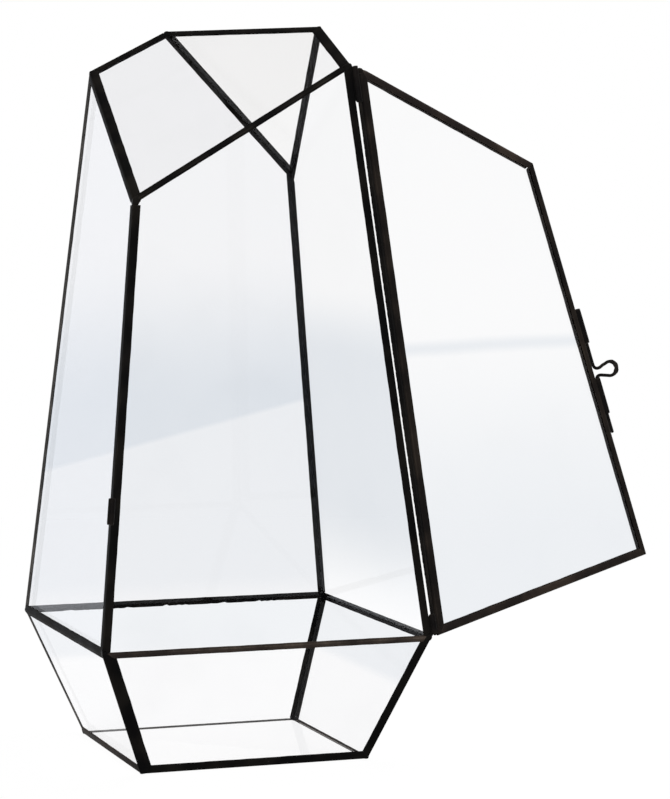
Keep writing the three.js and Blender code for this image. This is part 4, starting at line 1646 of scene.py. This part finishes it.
@dataclass
class Studio:
    """A plain white sweep, soft lamps and the camera."""

    # The camera's place and directions, and its focal length in pixels of the picture.
    eye: Triple = (-350.53, -1188.81, 229.71)
    forward: Triple = (0.31881, 0.94534, -0.0685)
    rightward: Triple = (0.94746, -0.31985, -0.00452)
    focal_pixels: float = 2998.1
    picture_height: float = 799.0
    sensor: float = 36.0
    # Between which distances it sees.
    clip: Span = (20.0, 200000.0)
    # The floor is lit near the terrarium and plain white further out.
    floor_half: float = 30000.0
    paper: Triple = (0.8, 0.8, 0.8)
    lit_fade: Span = (230.0, 900.0)
    lit_share: float = 0.02
    # How bright the floor looks in mirrors and lights things, in front of the terrarium and behind
    # it, between which places that changes, and how grainy it is and in what size.
    front_glow: float = 0.2
    back_glow: float = 0.95
    glow_fade: Span = (-80.0, 80.0)
    floor_grain: float = 0.02
    grain_size: float = 3.0
    # How much brightness is missing behind the terrarium on the left, and from where on: on the
    # floor, backwards and to the right, and the same for the walls as shares of a direction.
    left_dimming: float = 0.75
    floor_dimming: tuple[Span, Span] = ((200.0, 400.0), (-100.0, 50.0))
    wall_dimming: tuple[Span, Span] = ((0.6, 0.95), (-0.3, -0.1))
    # The walls' glow at the front, how much they gain to the back, and the ceiling's glow.
    wall_glow: float = 0.1
    wall_gain: float = 0.86
    wall_fade: Span = (-0.75, 0.15)
    ceiling_glow: float = 0.05
    ceiling_fade: Span = (0.15, 0.6)
    ceiling_tint: Triple = (1.0, 0.85, 0.68)
    tint_fade: Span = (0.0, 0.5)
    # The card behind the left-hand pane: its left and right edge, how far back, and its top.
    card_sides: Span = (-320.0, -70.0)
    card_back: float = 250.0
    card_top: float = 330.0
    card_glow: Triple = (0.93, 0.95, 1.0)
    # Each lamp's place, its side and its power in watts.
    lamp_target: Triple = (0.0, 0.0, 120.0)
    top_lamp: tuple[Triple, float, float] = ((500.0, 250.0, 1200.0), 800.0, 30.0)
    front_lamp: tuple[Triple, float, float] = ((-350.0, -1500.0, 420.0), 900.0, 22.0)

    def camera(self) -> None:
        """Places the camera at the photograph's viewing angle."""
        data = bpy.data.cameras.new("camera")
        data.sensor_width = self.sensor
        data.lens = self.focal_pixels / self.picture_height * self.sensor
        data.clip_start, data.clip_end = (distance * MM for distance in self.clip)
        made = bpy.data.objects.new("camera", data)
        bpy.context.scene.collection.objects.link(made)
        ahead, right = Vector(self.forward).normalized(), Vector(self.rightward)
        right = (right - ahead * ahead.dot(right)).normalized()
        turned = Matrix((right, right.cross(ahead), -ahead)).transposed().to_4x4()
        made.matrix_world = Matrix.Translation(Vector(self.eye) * MM) @ turned
        bpy.context.scene.camera = made

    def _sheet(self, name: str, spots: tuple[Triple, ...], finish: Material) -> bpy.types.Object:
        """Adds a flat four-cornered sheet of the studio.

        Args:
            name: its name.
            spots: its corners.
            finish: its material.

        Returns:
            The sheet.
        """
        mesh = bpy.data.meshes.new(name)
        mesh.from_pydata((np.array(spots) * MM).tolist(), [], [(0, 1, 2, 3)])
        mesh.materials.append(finish)
        made = bpy.data.objects.new(name, mesh)
        bpy.context.scene.collection.objects.link(made)
        made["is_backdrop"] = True
        return made

    def _kept_glow(self, right: Value, back: Value, fades: tuple[Span, Span]) -> Value:
        """The share of the brightness that is kept, which is less behind the terrarium on the left."""
        return 1 - self.left_dimming * (back.rise(*fades[0]) * (1 - right.rise(*fades[1])))

    def floor(self) -> None:
        """Lays the floor, which glows so that it is as white as the backdrop."""
        bench = Bench(bpy.data.materials.new("floor_white"))
        place = bench.place()
        away = bench.add("VectorMath", {0: place}, {"operation": "LENGTH"}, output=1) * TO_MM
        right, back = bench.part(place, 0) * TO_MM, bench.part(place, 1) * TO_MM
        lit = self.lit_share * (1 - away.rise(*self.lit_fade))
        mirrored = self.front_glow + (self.back_glow - self.front_glow) * back.rise(*self.glow_fade)
        mirrored = mirrored * self._kept_glow(right, back, self.floor_dimming)
        seen = bench.add("LightPath")
        mirrored = mirrored + self.floor_grain * bench.noise(place, self.grain_size)
        strength = seen * (1 - lit) + (1 - seen) * mirrored
        light = bench.add("Emission", {"Color": WHITE, "Strength": strength})
        black, paper = (bench.add("BsdfDiffuse", {"Color": colour}) for colour in (BLACK, self.paper))
        weighted = bench.add("MixShader", {0: lit, 1: black, 2: paper})
        half = self.floor_half
        spots = ((-half, -half, 0.0), (half, -half, 0.0), (half, half, 0.0), (-half, half, 0.0))
        self._sheet("floor", spots, bench.finish(bench.add("AddShader", {0: weighted, 1: light})))

    def world(self) -> None:
        """Makes the backdrop white, with bright walls round a dim ceiling and a dim front."""
        bench = Bench(bpy.data.worlds.new("studio"))
        way = bench.add("TexCoord")
        right, back, up = (bench.part(way, axis) for axis in range(3))
        walls = self.wall_gain * back.rise(*self.wall_fade) * self._kept_glow(right, back, self.wall_dimming)
        room = self.ceiling_glow + (1 - up.rise(*self.ceiling_fade)) * (self.wall_glow + walls)
        seen = bench.add("LightPath")
        colour = bench.blend(up.rise(*self.tint_fade) * (1 - seen), WHITE, self.ceiling_tint)
        sky = bench.add("Background", {"Color": colour, "Strength": seen + (1 - seen) * room})
        bpy.context.scene.world = bench.finish(sky)

    def card(self) -> None:
        """Stands a bright card behind the left-hand pane, which only mirrors see."""
        (left, right), back, top = self.card_sides, self.card_back, self.card_top
        bench = Bench(bpy.data.materials.new("card_white"))
        finish = bench.finish(bench.add("Emission", {"Color": self.card_glow, "Strength": 1.0}))
        spots = ((left, back, 0.0), (right, back, 0.0), (right, back, top), (left, back, top))
        made = self._sheet("card", spots, finish)
        made.visible_camera = made.visible_diffuse = made.visible_shadow = False

    def lamp(self, name: str, where: Triple, size: float, watts: float) -> None:
        """Hangs one soft square lamp that faces the terrarium.

        Args:
            name: its name.
            where: its place.
            size: its side.
            watts: its power.
        """
        data = bpy.data.lights.new(name, "AREA")
        data.size, data.energy = size * MM, watts
        made = bpy.data.objects.new(name, data)
        made.location = Vector(where) * MM
        made.rotation_mode = "QUATERNION"
        made.rotation_quaternion = (Vector(self.lamp_target) - Vector(where)).to_track_quat("-Z", "Y")
        made.visible_glossy = made.visible_camera = False
        bpy.context.scene.collection.objects.link(made)

    def build(self) -> None:
        """Sets the whole studio up."""
        self.camera()
        self.floor()
        self.world()
        self.card()
        self.lamp("top_lamp", *self.top_lamp)
        self.lamp("front_lamp", *self.front_lamp)
        bpy.context.scene.view_settings.view_transform = "Standard"
        LOG.info("studio ready")


def main() -> None:
    """Builds the terrarium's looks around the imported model."""
    logging.basicConfig(level=logging.INFO, format="%(message)s")
    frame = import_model()
    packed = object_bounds()
    low, high = (np.array(corner) / MM for corner in packed)
    nodes = frame["nodes"]
    hinge, slide = frame["joints"]
    point = np.array(hinge["pos_m"]) / MM
    hinge_way, bolt_way = (unit(np.array(joint["axis"], float)) for joint in (hinge, slide))
    Studio().build()
    finishes = {coat: coat.value.material(f"{coat.name.lower()}_lacquer") for coat in Coat}
    GlassPanes(nodes).build()
    body = BodyShape(nodes)
    SeamStrips(body, finishes).build()
    BodySolder(body, finishes, low, high).build()
    door = DoorShape(nodes)
    DoorFrame(door, finishes).build(low, high)
    Hinge(nodes, door, body, point, hinge_way, finishes).build()
    Latch(nodes, door, body, bolt_way, finishes).build()


if __name__ == "__main__":
    main()
